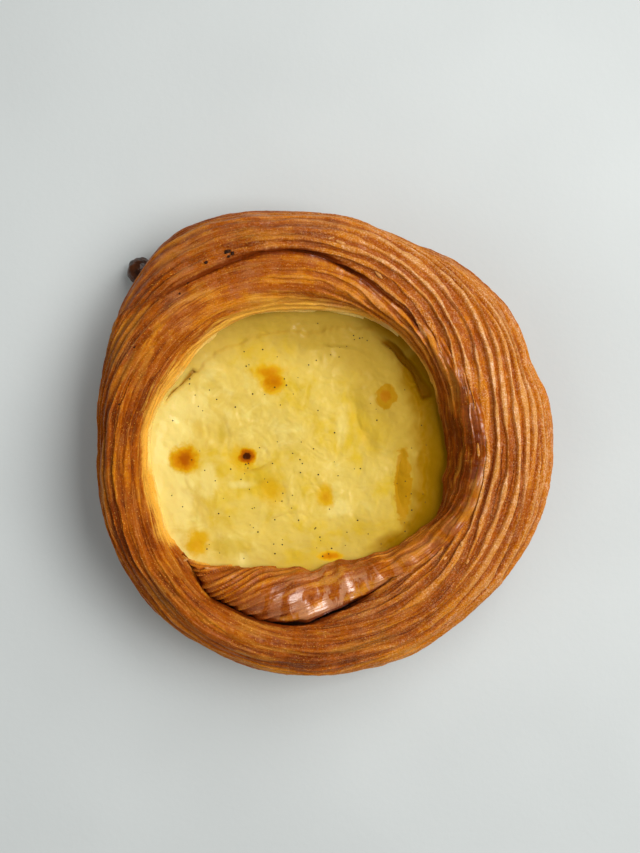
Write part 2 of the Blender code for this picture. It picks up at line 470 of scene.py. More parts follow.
@dataclass(frozen=True)
class BakedDough:
    """Glazed laminated crust: tan ridges and translucent orange brown grooves, partly painted light and
    shade.
    """

    name: str = "baked_dough"
    tan: Colour = (0.60, 0.253, 0.060, 1.0)
    golden: Colour = (0.54, 0.160, 0.002, 1.0)
    brown: Colour = (0.34, 0.070, 0.001, 1.0)
    dark: Colour = (0.15, 0.022, 0.001, 1.0)
    pale: Colour = (0.85, 0.43, 0.050, 1.0)
    raw: Colour = (0.90, 0.66, 0.18, 1.0)
    # Colours of the painted sheen: a rosy streak and a glossy film.
    sheen_rose: Colour = (0.50, 0.195, 0.065, 1.0)
    sheen_film: Colour = (0.56, 0.235, 0.105, 1.0)
    glint: Colour = (0.90, 0.56, 0.31, 1.0)
    # Colour of the painted highlight dots.
    glint_dot: Colour = (0.90, 0.46, 0.08, 1.0)
    # Colour of the painted shade in the seam's crevice.
    black: Colour = (0.012, 0.004, 0.002, 1.0)

    def material(self) -> bpy.types.Material:
        """Build the material.

        Returns:
            A material that reads leaf, run, relief, ridge, thread, crease, tone, fine, gloss, frost,
            toast, pale, bloom and scorch from the mesh.
        """
        made = bpy.data.materials.new(self.name)
        constants = {
            "Coat Roughness": 0.28,
            "Coat IOR": 1.9,
            "Specular IOR Level": 0.1,
            "Specular Tint": (1.0, 0.62, 0.25, 1.0),
            "Subsurface Weight": 0.10,
            "Subsurface Radius": (1.0, 0.35, 0.06),
            "Subsurface Scale": 1.0 * MM,
        }
        graph = FinishGraph(made, constants)
        leaf, run, relief, gloss = (graph.attribute(name) for name in ("leaf", "run", "relief", "gloss"))
        ridge, thread, crease = (graph.attribute(name) for name in ("ridge", "thread", "crease"))
        tone, frost_and_glint, sheen_amount = (graph.attribute(name) for name in ("tone", "frost_and_glint", "painted_sheen"))
        patch = graph.noise(graph.place, 0.13, 4.0, 0.65)
        streak = graph.strands(leaf * 1.9, run * 0.06, 0.0, 3.0, 0.65)
        hair = graph.strands(leaf * 7.0, run * 0.14, 3.0, 2.0, 0.6)
        fleck = graph.noise(graph.place, 1.1, 3.0, 0.65)
        sugar = graph.noise(graph.place, 2.9, 2.0, 0.6)
        shade = (patch - 0.5) * 1.5 + (fleck - 0.5) * 0.8 + (tone - 0.5) * 0.8
        threads = (1.0 - gloss) * (graph.attribute("fine") * 0.7 + 0.3)
        shade = shade + (hair - 0.5) * threads * 0.45 + (streak - 0.5) * (threads * 0.6 + 0.45)
        band = graph.strands(leaf * 0.8, run * 0.06, 13.0, 3.0, 0.6, 0.5)
        flat = 1.0 - graph.clamp(relief)
        shade = shade + (0.60 - graph.smooth(band, 0.36, 0.62)) * flat * 0.4
        # Painted light and shade: ridge pulls the colour to tan on the ridge tops, and crease and thread
        # darken it in the grooves and creases, on top of the baked toast.
        brownness_and_shade = graph.attribute("toast") + shade - ridge * 1.05 + thread * 0.15 + crease * 0.4 + 0.12
        browned = (-0.35, 0.25, self.golden), (0.3, 0.85, self.brown), (0.8, 1.5, self.dark)
        colour = graph.stain(self.tan, brownness_and_shade, *browned)
        rawness = graph.attribute("pale") + (streak - 0.5) * 0.9 + (patch - 0.5) * 0.9
        # Ridges are made paler and threads and creases less pale: painted light on the ridges, painted shade
        # in the grooves.
        rawness = rawness + ridge * 0.2 - thread * 0.4 - crease * 0.4
        colour = graph.stain(colour, rawness, (0.2, 0.8, self.pale), (1.0, 1.4, self.raw))
        strand = graph.strands(leaf * 5.0, run * 0.05, 9.0, 3.0, 0.6)
        upper = 1.0 - graph.clamp(relief * (1.0 - ridge) * 1.2) * 0.8
        strand = graph.smooth(strand, 0.56, 0.64) * threads * upper * 0.65
        colour = graph.mix(strand, colour, self.tan)
        colour = graph.mix(graph.smooth(band, 0.50, 0.64) * flat * upper * 0.42, colour, self.pale)
        # Painted sheen: rosy streaks and glossy film patches in the colour stand in for the glaze's
        # reflections; upper keeps them off the grooves.
        painted_sheen = graph.strands(leaf * 0.55, run * 0.07, 5.0, 3.0, 0.6)
        painted_sheen = graph.smooth(painted_sheen, 0.54, 0.66) * sheen_amount * upper
        colour = graph.mix(painted_sheen, colour, self.sheen_rose)
        sheen = graph.strands(leaf * 0.42, run * 0.28, 7.0, 3.0, 0.6, 0.4)
        sheen_film = graph.smooth(sheen, 0.47, 0.53) * (graph.smooth(gloss, 0.3, 0.9) * 0.7 + 0.12) * sheen_amount * upper
        colour = graph.mix(sheen_film, colour, self.sheen_film)
        wet = graph.smooth(graph.noise(graph.place, 0.5, 3.0, 0.6), 0.44, 0.62)
        # Painted glints: light specks in the colour stand in for highlights on the sugary crust; frost puts
        # most of them on the right, where the light falls, and on the ridges.
        sparkle = graph.smooth(sugar, 0.49, 0.62) * (frost_and_glint * 0.8 + 0.03) * (0.35 + ridge * 0.65)
        colour = graph.mix(sparkle * (0.45 + wet * 0.55), colour, self.glint)
        # Painted highlights: tiny bright dots mixed into the colour of the parts that are not glossy.
        glint_dot = graph.smooth(graph.noise(graph.place, 3.4, 1.0, 0.5), 0.66, 0.73)
        colour = graph.mix(glint_dot * (1.0 - gloss) * 0.6, colour, self.glint_dot)
        pit = graph.smooth(sugar, 0.44, 0.32) * 0.25
        colour = graph.mix(pit, colour, self.dark)
        # Painted shade: the seam's crevice is darkened to black, most where it is narrowest.
        seam_shade = graph.attribute("seam_shade") + (fleck - 0.5) * 0.5
        colour = graph.stain(colour, seam_shade, (0.2, 0.6, self.dark), (0.65, 1.1, self.black))
        graph.drive("Base Color", colour)
        glaze = gloss * (graph.smooth(sheen, 0.43, 0.53) * 0.94 + 0.06)
        graph.drive("Coat Weight", graph.clamp(glaze + wet * graph.clamp(frost_and_glint - 0.3) * upper * 0.5))
        graph.drive("Roughness", 0.42 - gloss * 0.1 + (fleck - 0.5) * 0.3)
        grain = sugar * 0.7 + graph.noise(graph.place, 7.0, 2.0, 0.6) * 0.3 + fleck * 0.9
        grain = grain * (frost_and_glint * 0.4 + 0.5) + hair * 0.4
        graph.bump(grain * (1.0 - gloss * 0.85), 0.2)
        return made


@dataclass(frozen=True)
class Scorch:
    """One oval mark on the custard: its place, its radius, its strength and its stretch in x and y."""

    at: Place
    radius: float
    strength: float
    stretch: Place = (1.0, 1.0)


@dataclass(frozen=True)
class CustardCream:
    """Baked vanilla custard: creamy curds, wet mustard edges deepened by painted shade, and a few scorched
    spots.

    pools are darker marks, curds paler ones, and spots those that are browned. A pool turns ochre
    where its strength passes 0.9, and brown where it passes 3.3.
    """

    name: str = "custard_cream"
    light: Colour = (0.695, 0.50, 0.098, 1.0)
    deep: Colour = (0.65, 0.43, 0.028, 1.0)
    cream: Colour = (0.83, 0.69, 0.22, 1.0)
    honey: Colour = (0.67, 0.385, 0.010, 1.0)
    mustard: Colour = (0.29, 0.14, 0.001, 1.0)
    olive: Colour = (0.455, 0.29, 0.036, 1.0)
    # Colour of the painted shade in the custard's ditches.
    crevice_shade: Colour = (0.29, 0.12, 0.001, 1.0)
    amber: Colour = (0.58, 0.215, 0.0005, 1.0)
    brown: Colour = (0.40, 0.095, 0.001, 1.0)
    burnt: Colour = (0.06, 0.010, 0.001, 1.0)
    pool: Colour = (0.56, 0.365, 0.020, 1.0)
    ochre: Colour = (0.40, 0.19, 0.001, 1.0)
    curd: Colour = (0.80, 0.64, 0.20, 1.0)
    pools: tuple[Scorch, ...] = (
        Scorch((7.0, 11.6), 2.4, 0.9, (0.9, 2.0)),
        Scorch((8.7, 6.4), 2.4, 0.9, (0.9, 2.2)),
        Scorch((11.0, 0.6), 2.4, 0.9, (1.0, 2.0)),
        Scorch((-24.5, 2.0), 2.0, 0.6, (0.8, 2.2)),
        Scorch((-13.5, -8.5), 4.2, 0.7, (1.1, 1.0)),
        Scorch((-22.0, -24.0), 4.0, 0.7, (1.8, 0.9)),
        Scorch((18.1, -9.7), 2.9, 3.2, (0.82, 3.8)),
        Scorch((14.2, 11.3), 2.6, 5.0, (1.0, 1.1)),
        Scorch((-27.0, 14.0), 3.0, 0.5, (1.6, 0.8)),
        Scorch((-2.0, 24.0), 3.0, 0.7, (2.4, 0.7)),
    )
    curds: tuple[Scorch, ...] = (
        Scorch((3.8, 5.0), 2.2, 0.5, (1.0, 3.0)),
        Scorch((-27.6, -8.6), 3.0, 0.9, (0.8, 1.8)),
        Scorch((-34.0, -14.0), 3.2, 0.9, (1.0, 1.8)),
        Scorch((2.5, -15.0), 2.6, 0.8, (1.6, 1.0)),
        Scorch((-20.0, -9.5), 1.8, 0.6, (2.2, 0.7)),
        Scorch((-31.0, 8.5), 2.6, 0.7, (1.0, 1.4)),
        Scorch((22.0, 2.0), 1.8, 0.6, (0.8, 4.0)),
    )
    spots: tuple[Scorch, ...] = (
        Scorch((-33.2, -3.6), 3.3, 1.05),
        Scorch((-18.6, -2.9), 1.9, 1.9),
        Scorch((-19.6, -3.2), 3.4, 0.34),
        Scorch((-12.4, 14.7), 3.1, 0.80),
        Scorch((-13.4, 16.7), 2.4, 0.60, (1.9, 1.0)),
        Scorch((-0.2, -12.4), 2.6, 0.48, (0.9, 1.3)),
        Scorch((-12.6, -11.0), 3.8, 0.30, (1.0, 1.2)),
        Scorch((-30.1, -23.2), 3.6, 0.42),
        Scorch((1.0, -26.2), 1.4, 0.80, (2.2, 0.8)),
        Scorch((9.0, 1.5), 2.0, 0.12, (0.8, 2.4)),
    )

    def material(self) -> bpy.types.Material:
        """Build the material.

        Returns:
            A material that reads milk, shade, damp and hollow from the mesh and knows its spots' places.
        """
        made = bpy.data.materials.new(self.name)
        constants = {
            "Subsurface Weight": 0.12,
            "Subsurface Radius": (1.0, 0.5, 0.12),
            "Subsurface Scale": 1.0 * MM,
            "Specular IOR Level": 0.06,
            "Specular Tint": (1.0, 0.8, 0.35, 1.0),
            "Coat Roughness": 0.18,
        }
        graph = FinishGraph(made, constants)
        flat = graph.vector_math("MULTIPLY", {0: graph.place, 1: (1.0, 1.0, 0.0)})
        cloud = graph.noise(flat, 0.07, 3.0, 0.5, 0.8)
        curd = graph.noise(flat, 0.17, 4.0, 0.55, 1.2)
        grain = graph.noise(graph.place, 1.1, 2.0, 0.5)
        brushed = graph.vector_math("MULTIPLY", {0: graph.place, 1: (0.26, 0.12, 0.0)})
        brush = graph.noise(brushed, 1.0, 3.0, 0.55, 0.6)
        tone = (cloud - 0.5) * 1.8 + (curd - 0.5) * 1.0 + (brush - 0.5) * 0.5 + (grain - 0.5) * 0.1
        # Painted light: milk makes the custard paler towards the left, where its slope faces the light.
        tone = tone + graph.attribute("painted_glow") * 0.5 + 0.5
        colour = graph.mix(graph.smooth(tone, 0.1, 0.6), self.deep, self.light)
        colour = graph.mix(graph.smooth(tone, 0.6, 1.1) * 0.8, colour, self.cream)
        ragged = graph.noise(flat, 0.3, 3.0, 0.6, 0.8)
        pooled = self._heat(graph, self.pools, ragged)
        colour = graph.mix(graph.smooth(pooled, 0.1, 0.7) * 0.7, colour, self.pool)
        curdled = self._heat(graph, self.curds, ragged)
        colour = graph.mix(graph.smooth(curdled, 0.1, 0.6) * 0.7, colour, self.curd)
        shade = graph.attribute("shade") + (curd - 0.5) * 0.5 + (brush - 0.5) * 0.3
        colour = graph.stain(colour, shade, (0.05, 1.0, self.olive))
        # The edge turns mustard: partly wet custard, partly painted shade, strongest on the right, under the
        # wall whose shadow falls there.
        damp_shade_edge = graph.attribute("damp_and_shade")
        blot = graph.noise(flat, 0.11, 2.0, 0.5, 0.5)
        damp_and_shade = damp_shade_edge + (blot - 0.5) * 1.5 * graph.smooth(damp_shade_edge, 0.0, 0.4)
        colour = graph.stain(colour, damp_and_shade, (0.15, 0.85, self.mustard))
        colour = graph.mix(graph.smooth(pooled, 0.9, 1.6) * 0.9, colour, self.ochre)
        # The brown stage darkens the pool at (14.2, 11.3): partly its own browning, partly painted shade, as
        # it lies in the wall's shade.
        colour = graph.mix(graph.smooth(pooled, 3.3, 4.4) * 0.45, colour, self.brown)
        # Painted shade: the ditches where the custard drew back are darkened brown.
        hollow = graph.attribute("hollow") + (grain - 0.5) * 0.3
        colour = graph.stain(colour, hollow, (0.15, 0.6, self.crevice_shade))
        heat = self._heat(graph, self.spots, graph.noise(graph.place, 0.45, 3.0, 0.6))
        toasted = (0.02, 0.32, self.honey), (0.25, 0.68, self.amber)
        scorched = (0.60, 1.05, self.brown), (1.15, 1.6, self.burnt)
        colour = graph.stain(colour, heat, *toasted, *scorched)
        graph.drive("Base Color", colour)
        graph.drive("Roughness", 0.42 + (curd - 0.5) * 0.3)
        wet = 1.0 - graph.clamp(pooled + heat) * 0.8
        graph.drive("Coat Weight", graph.clamp((cloud - 0.44 - damp_shade_edge * 0.5) * 1.5) * wet)
        swell = graph.noise(flat, 0.16, 1.5, 0.5, 1.0)
        graph.bump(swell * 1.2 + grain * 0.3 + graph.noise(graph.place, 4.0, 2.0, 0.5) * 0.08, 0.2)
        return made

    @staticmethod
    def _heat(graph: FinishGraph, spots: tuple[Scorch, ...], wobble: Signal) -> Signal:
        """Find the strongest spot's strength at each point of the custard.

        Args:
            graph: The material's tree.
            spots: The spots.
            wobble: Noise that makes their edges ragged.

        Returns:
            The strength, which passes 1 only inside a strong spot.
        """
        heat = None
        for spot in spots:
            away = graph.vector_math("SUBTRACT", {0: graph.place, 1: (spot.at[0], spot.at[1], 0.0)})
            squash = (1.0 / spot.stretch[0], 1.0 / spot.stretch[1], 0.0)
            away = graph.vector_math("MULTIPLY", {0: away, 1: squash})
            distance = graph.vector_math("LENGTH", {0: away}, 1)
            reach = distance / spot.radius + (wobble - 0.5) * 1.0
            bell = graph.smooth(reach, 1.45, 0.0) * spot.strength
            heat = bell if heat is None else graph.math("MAXIMUM", heat, bell)
        return heat


@dataclass(frozen=True)
class Speckle:
    """A dark finish of one hue with a little variation, for seeds, char and burnt sugar."""

    name: str
    first: Colour
    second: Colour
    roughness: float
    scale: float = 2.0
    coat: float = 0.0

    def material(self) -> bpy.types.Material:
        """Build the material.

        Returns:
            A material that varies between its two colours by noise alone.
        """
        made = bpy.data.materials.new(self.name)
        constants = {"Coat Weight": self.coat, "Coat Roughness": 0.12, "Specular IOR Level": 0.15}
        graph = FinishGraph(made, constants)
        tone = graph.noise(graph.place, self.scale, 3.0, 0.6)
        graph.drive("Base Color", graph.mix(graph.smooth(tone, 0.35, 0.7), self.first, self.second))
        graph.drive("Roughness", (tone - 0.5) * 0.3 + self.roughness)
        graph.bump(graph.noise(graph.place, self.scale * 3.0, 2.0, 0.5), 0.06)
        return made


VANILLA = Speckle("vanilla_seed", (0.012, 0.008, 0.005, 1.0), (0.05, 0.03, 0.015, 1.0), 0.6)
BURNT_SUGAR = Speckle("burnt_sugar", (0.02, 0.005, 0.001, 1.0), (0.10, 0.026, 0.005, 1.0), 0.35, 0.35, 0.3)


# ---------------------------------------------------------------------------------------------
# The coil's plan
# ---------------------------------------------------------------------------------------------


@dataclass(frozen=True)
class Coil:
    """Plan and heights of the coiled strip, in millimetres and degrees.

    Rings are read at the hours of a clock face, anticlockwise from three o'clock. Tables along the
    strip have a value for every 30 degrees of coil angle from its inner end, and those of the seam
    between the turns from seam_first.

    start and length are the coil angle of the inner end and what the strip covers. well and rim are
    the radii of the custard's edge and of the outline. dents are the outline's, each with its
    direction, width and depth, and corner is the depth and width of the well's corner at the inner
    end. joint is where the outer turn's two shells meet. seam is the radius of the seam, seam_drop
    how far its valley lies below the crests, and overlap how far one turn laps under the other.
    crest is the height of the crest and crest_share its place across the strip. well_edge is the
    crust's height at the custard, and bulge that of the widest part of its side.
    """

    middle: Place = (-5.0, 0.0)
    start: float = 222.0
    length: float = 655.0
    well: tuple[float, ...] = (32.9, 33.4, 33.2, 31.3, 32.7, 33.2, 36.0, 36.0, 32.4, 28.8, 30.4, 34.6)
    rim: tuple[float, ...] = (58.4, 57.8, 54.8, 54.4, 58.4, 52.0, 48.5, 51.2, 52.8, 54.7, 55.5, 57.3)
    dents: tuple[tuple[float, float, float], ...] = (
        (20.0, 5.0, 1.2),
        (64.0, 7.0, 0.9),
        (146.0, 6.0, -0.7),
    )
    corner: tuple[float, float] = (3.6, 9.0)
    joint: float = 730.0
    seam_first: float = 240.0
    seam: tuple[float, ...] = (41.3, 40.9, 36.9, 40.2, 40.7, 38.3, 38.0, 43.8, 44.8, 48.2)
    seam_drop: tuple[float, ...] = (2.2, 4.4, 1.6, 0.2, 0.0, 0.0, 0.2, 1.5, 1.3, 0.5, 0.0)
    overlap: tuple[float, ...] = (0.5, 0.3, 0.5, 1.4, 1.8, 1.8, 1.2, 0.6, 1.2, 1.8, 1.8)
    crest: tuple[float, ...] = (
        22.5, 27.2, 26.0, 26.6, 29.4, 30.7, 31.0, 30.4, 29.6, 29.5, 30.0, 30.0,
        29.4, 28.6, 28.2, 28.8, 30.0, 30.9, 31.1, 30.4, 29.4, 28.4, 28.0,
    )
    crest_share: tuple[float, ...] = (
        0.50, 0.58, 0.66, 0.70, 0.85, 0.85, 0.70, 0.50, 0.48, 0.48, 0.50, 0.50,
        0.46, 0.34, 0.36, 0.34, 0.26, 0.22, 0.24, 0.30, 0.34, 0.36, 0.36,
    )
    well_edge: float = 19.5
    bulge: float = 12.5

    @property
    def open_from(self) -> float:
        """Coil angle from which the first turn is itself the outline."""
        return self.start + self.length - TURN

    @property
    def joints(self) -> tuple[float, ...]:
        """Coil angles at which the strip's shells begin and end."""
        return self.start, self.start + HALF_TURN, self.start + TURN, self.joint, self.end

    @property
    def end(self) -> float:
        """Coil angle of the strip's outer end."""
        return self.start + self.length

    def along(self, table: tuple[float, ...], angle: np.ndarray) -> np.ndarray:
        """Read a table along the strip at coil angles."""
        return spline(table, (angle - self.start) / STATION)

    def along_seam(self, table: tuple[float, ...], angle: np.ndarray) -> np.ndarray:
        """Read a table along the seam at the first turn's coil angles."""
        return spline(table, (angle - self.seam_first) / STATION)

    def well_radius(self, angle: np.ndarray) -> np.ndarray:
        """Plan radius of the custard's edge."""
        depth, width = self.corner
        return ring_spline(self.well, angle) + depth * hump(angle, self.start, width)

    def rim_radius(self, angle: np.ndarray) -> np.ndarray:
        """Plan radius of the pastry's outline.

        Args:
            angle: Plan or coil angles.

        Returns:
            A radius for each angle.
        """
        radius = ring_spline(self.rim, angle)
        for direction, width, depth in self.dents:
            radius = radius - depth * hump(angle, direction, width)
        return radius

    def seam_radius(self, angle: np.ndarray) -> np.ndarray:
        """Plan radius of the seam between the turns.

        Args:
            angle: The first turn's coil angles.

        Returns:
            A radius for each angle, from the well at the inner tip to the outline at the tail.
        """
        last = self.end - TURN
        radius = self.along_seam(self.seam, angle)
        tip = 1.0 - ease((angle - self.start) / (self.seam_first - self.start))
        radius = radius + (self.well_radius(np.array(self.start)) - radius) * tip
        tail = ease((angle - last) / 24.0 + 1.0)
        return radius + (self.rim_radius(angle) - radius) * tail

    def crest_height(self, angle: np.ndarray) -> np.ndarray:
        """Height of the strip's crest, which starts round from the well's edge.

        Args:
            angle: Coil angles.

        Returns:
            A height for each angle.
        """
        height = self.along(self.crest, angle)
        back = 1.0 - np.clip((angle - self.start) / 10.0, 0.0, 1.0)
        return self.well_edge + (height - self.well_edge) * np.sqrt(1.0 - back * back)

    def flush(self, angle: np.ndarray) -> np.ndarray:
        """How far the strip's tail lies flush on the first turn's side at that turn's coil angle."""
        return ease((angle - self.open_from + 60.0) / 45.0)

    def side(self, angle: np.ndarray, count: int, beyond: bool) -> tuple[np.ndarray, np.ndarray]:
        """The first turn's side down to the rim, as it would be without the strip's tail on it.

        Args:
            angle: The first turn's coil angle.
            count: How many points to return.
            beyond: Whether to follow the side from the seam to the rim, and not from the crest to the seam.

        Returns:
            Radii and heights.
        """
        seam, rim = self.seam_radius(angle), self.rim_radius(angle)
        inner = self.well_radius(angle)
        crest = inner + (seam - inner) * self.along(self.crest_share, angle)
        meet = math.asin(min(float((seam - crest) / (rim - crest)), 1.0))
        turn = np.linspace(meet, QUARTER, count) if beyond else np.linspace(0.0, meet, count)
        top = self.along(self.crest, angle)
        height = self.bulge + (top - self.bulge) * np.cos(turn) ** ROUNDNESS
        return crest + (rim - crest) * np.sin(turn), height

    def seam_height(self, angle: np.ndarray) -> np.ndarray:
        """Height of the valley between the turns.

        Args:
            angle: The first turn's coil angles.

        Returns:
            A height for each angle.
        """
        lower = np.minimum(self.crest_height(angle), self.crest_height(angle + TURN))
        height = lower - self.along(self.seam_drop, angle) * ease((self.open_from - angle) / 30.0)
        tip = ease((angle - self.start) / 20.0)
        return self.well_edge + (height - self.well_edge) * tip


@dataclass(frozen=True)
class StripLook:
    """What the strip's surface is like along its length, by tables of the coil angle.

    relief is how deep its leaves are grooved, fine how strong the threads between them are, and
    sheet how smooth and glossy it is. toast is how brown it is inside the crest and toast_out outside
    it, and foot how much paler its lower side is. frost is how sugary it is and how many painted
    glints it gets, which are painted highlights, most on the right where the light falls; bloom is
    how much painted rosy sheen it gets, a painted reflection of the glaze. On the first turn, pale
    and pale_width say how raw the dough is at the custard and how far up, shine how glossy, and
    burn how black its seam's crevice is painted, as painted shade. line is a radius along which one
    leaf runs, and pitch the leaves' spacing.
    """

    relief: tuple[float, ...] = (
        0.80, 0.50, 0.10, 0.45, 0.25, 0.30, 0.60, 0.60, 0.30, 0.30, 0.45, 0.60,
        0.50, 0.35, 0.40, 0.65, 0.95, 1.15, 1.15, 0.80, 0.35, 0.35, 0.35,
    )
    fine: tuple[float, ...] = (
        0.90, 0.60, 0.15, 0.60, 0.45, 0.40, 0.70, 0.35, 0.35, 0.80, 0.80, 0.80,
        0.70, 0.60, 0.70, 0.80, 0.90, 0.50, 0.50, 0.35, 0.45, 0.80, 0.80,
    )
    sheet: tuple[float, ...] = (
        0.10, 0.40, 1.00, 0.50, 0.60, 0.50, 0.10, 0.10, 0.10, 0.05, 0.00, 0.00,
        0.00, 0.05, 0.05, 0.00, 0.00, 0.00, 0.00, 0.10, 0.20, 0.20, 0.20,
    )
    toast: tuple[float, ...] = (
        0.88, 0.85, 0.60, 0.60, 1.00, 0.95, 0.75, 0.50, 0.45, 0.55, 0.80, 1.05,
        0.92, 0.90, 0.86, 0.78, 0.80, 0.66, 0.66, 0.80, 0.80, 0.85, 0.90,
    )
    toast_out: tuple[float, ...] = (
        1.00, 1.05, 0.85, 0.85, 0.95, 0.85, 0.75, 0.60, 0.75, 0.95, 1.05, 1.25,
        1.20, 1.00, 0.92, 0.82, 0.76, 0.60, 0.70, 0.70, 0.80, 0.90, 0.90,
    )
    # How sugary each stretch is and how many painted glints it gets; highest on the right, where the light
    # falls.
    frost_and_glint: tuple[float, ...] = (
        0.15, 0.20, 0.40, 0.35, 0.00, 0.00, 0.20, 0.40, 0.25, 0.20, 0.15, 0.05,
        0.10, 0.15, 0.40, 0.70, 0.80, 0.85, 0.85, 0.80, 0.50, 0.20, 0.15,
    )
    pale: tuple[float, ...] = (
        0.60, 0.10, 0.00, 0.00, 0.00, 0.20, 0.85, 1.00, 0.90, 0.95, 1.00, 1.00, 1.00,
    )
    pale_width: tuple[float, ...] = (
        2.00, 1.00, 1.00, 1.00, 1.00, 2.00, 3.50, 5.00, 9.00, 6.00, 7.00, 7.00, 7.00,
    )
    shine: tuple[float, ...] = (
        0.00, 0.00, 0.20, 0.30, 0.30, 0.45, 0.50, 1.00, 0.30, 0.00, 0.00, 0.00, 0.00,
    )
    # How black each stretch of the seam's crevice is painted, as shade.
    seam_shadow: tuple[float, ...] = (
        0.50, 1.60, 1.10, 0.10, 0.00, 0.00, 0.30, 0.75, 0.80, 0.45, 0.00, 0.00, 0.00,
    )
    # How much painted rosy sheen each stretch gets.
    painted_sheen: tuple[float, ...] = (
        0.30, 0.75, 1.15, 0.80, 0.10, 0.10, 0.40, 0.60, 0.50, 0.40, 0.10, 0.10,
        0.10, 0.15, 0.35, 0.80, 0.80, 0.60, 0.70, 0.65, 0.65, 0.60, 0.40,
    )
    foot: tuple[float, ...] = (
        0.00, 0.00, 0.00, 0.00, 0.00, 0.00, 0.00, 0.00, 0.00, 0.10, 0.30, 0.50,
        0.60, 0.90, 1.10, 1.00, 0.50, 0.30, 0.20, 0.20, 0.10, 0.00, 0.00,
    )
    line: tuple[float, ...] = (
        64.00, 38.00, 29.00, 31.00, 34.50, 34.50, 39.00, 43.50, 46.50, 49.50, 51.50, 54.00,
        58.50, 61.50, 63.50, 63.50, 62.00, 62.00, 66.50, 71.00, 72.50, 72.00, 71.00,
    )
    pitch: float = 2.4


# ---------------------------------------------------------------------------------------------
# Shells
# ---------------------------------------------------------------------------------------------


def add_object(name: str, data: bpy.types.ID) -> bpy.types.Object:
    """Make an object and link it to the scene.

    Args:
        name: The object's name.
        data: Its mesh, light or camera.

    Returns:
        The object.
    """
    made = bpy.data.objects.new(name, data)
    bpy.context.scene.collection.objects.link(made)
    return made


def to_object(
    name: str, points: np.ndarray, faces: list, values: dict[str, np.ndarray], lift: np.ndarray
) -> bpy.types.Object:
    """Make an object from points in millimetres.

    Args:
        name: The object's name.
        points: One row of x, y and z for each vertex.
        faces: The faces' vertex numbers.
        values: Named values, one for each vertex.
        lift: The way in which relief pushes each vertex.

    Returns:
        The object, linked to the scene.
    """
    mesh = bpy.data.meshes.new(name)
    mesh.from_pydata((points * MM).tolist(), [], faces)
    ways = mesh.attributes.new(LIFT, "FLOAT_VECTOR", "POINT")
    ways.data.foreach_set("vector", np.asarray(lift, np.float32).ravel())
    for label, numbers in values.items():
        layer = mesh.attributes.new(label, "FLOAT", "POINT")
        layer.data.foreach_set("value", np.asarray(numbers, np.float32).ravel())
    mesh.shade_smooth()
    mesh.update()
    return add_object(name, mesh)


def outward(grid: np.ndarray, ring: bool) -> np.ndarray:
    """Find the normals of a grid of points.

    Args:
        grid: The points, columns by rows.
        ring: Whether the last column meets the first; if not, the end columns come out rough.

    Returns:
        A unit vector for each point.
    """
    along = np.roll(grid, -1, axis=0) - np.roll(grid, 1, axis=0) if ring else np.gradient(grid, axis=0)
    across = np.gradient(grid, axis=1)
    normal = np.cross(across, along)
    return normal / np.maximum(np.linalg.norm(normal, axis=2, keepdims=True), 1e-9)


def polar_grid(middle: Place, angles: np.ndarray, radius: np.ndarray, height: np.ndarray) -> np.ndarray:
    """Points from plan angles in degrees, radii round a middle, and heights, as columns by rows."""
    turn = np.radians(angles)[:, None]
    return np.stack((middle[0] + np.cos(turn) * radius, middle[1] + np.sin(turn) * radius, height), axis=2)


def grid_faces(columns: int, rows: int, wrap_columns: bool, wrap_rows: bool) -> list[tuple[int, ...]]:
    """Quads of a grid of vertices numbered row by row within each column.

    Args:
        columns: How many columns there are.
        rows: How many rows each has.
        wrap_columns: Whether the last column joins the first.
        wrap_rows: Whether the last row joins the first.

    Returns:
        The quads' vertex numbers.
    """
    column = np.arange(columns if wrap_columns else columns - 1)
    row = np.arange(rows if wrap_rows else rows - 1)
    first, second = np.meshgrid(column, row, indexing="ij")
    after = (first + 1) % columns
    above = (second + 1) % rows
    corners = (first * rows + second, first * rows + above, after * rows + above, after * rows + second)
    return np.stack([corner.ravel() for corner in corners], axis=1).tolist()


def close_ring(
    grid: np.ndarray, middle: Place, top: float, bottom: float
) -> tuple[np.ndarray, list, np.ndarray]:
    """Close a ring of columns with a point over its top rows and one under its bottom rows.

    Args:
        grid: The ring's points, columns by rows.
        middle: Plan place of both points.
        top: Height of the top point.
        bottom: Height of the bottom point.

    Returns:
        All the points, the faces' vertex numbers, and the way that relief pushes each point.
    """
    columns, rows = grid.shape[:2]
    points = np.concatenate((grid.reshape(-1, 3), [[*middle, top], [*middle, bottom]]))
    faces = grid_faces(columns, rows, True, False)
    for column in range(columns):
        after = (column + 1) % columns
        faces.append((columns * rows, column * rows, after * rows))
        faces.append((columns * rows + 1, (after + 1) * rows - 1, (column + 1) * rows - 1))
    lift = np.concatenate((outward(grid, True).reshape(-1, 3), ((0.0, 0.0, 1.0), (0.0, 0.0, -1.0))))
    return points, faces, lift


def resample(radius: np.ndarray, height: np.ndarray, count: int) -> tuple[np.ndarray, np.ndarray, np.ndarray]:
    """Space a profile's points evenly along its length.

    Args:
        radius: Plan radii along the profile.
        height: Heights along the profile.
        count: How many points to return.

    Returns:
        Radii, heights and the length from the profile's start of each new point.
    """
    steps = np.hypot(np.diff(radius), np.diff(height))
    travelled = np.concatenate(([0.0], np.cumsum(steps)))
    wanted = np.linspace(0.0, travelled[-1], count)
    return np.interp(wanted, travelled, radius), np.interp(wanted, travelled, height), wanted


def skin_mask(columns: int, rows: int, first: int, count: int, fade: float) -> np.ndarray:
    """1 on a shell's skin, fading over its edge rows to 0 on the rows that aren't skin.

    Args:
        columns: How many columns the shell has.
        rows: How many rows it has.
        first: The skin's first row.
        count: How many rows the skin has.
        fade: How many rows the fade takes.

    Returns:
        Columns by rows.
    """
    skin = np.zeros((columns, rows))
    edge = np.minimum(np.arange(count), count - 1 - np.arange(count)) / fade
    skin[:, first: first + count] = np.clip(edge, 0.0, 1.0)[None, :]
    return skin


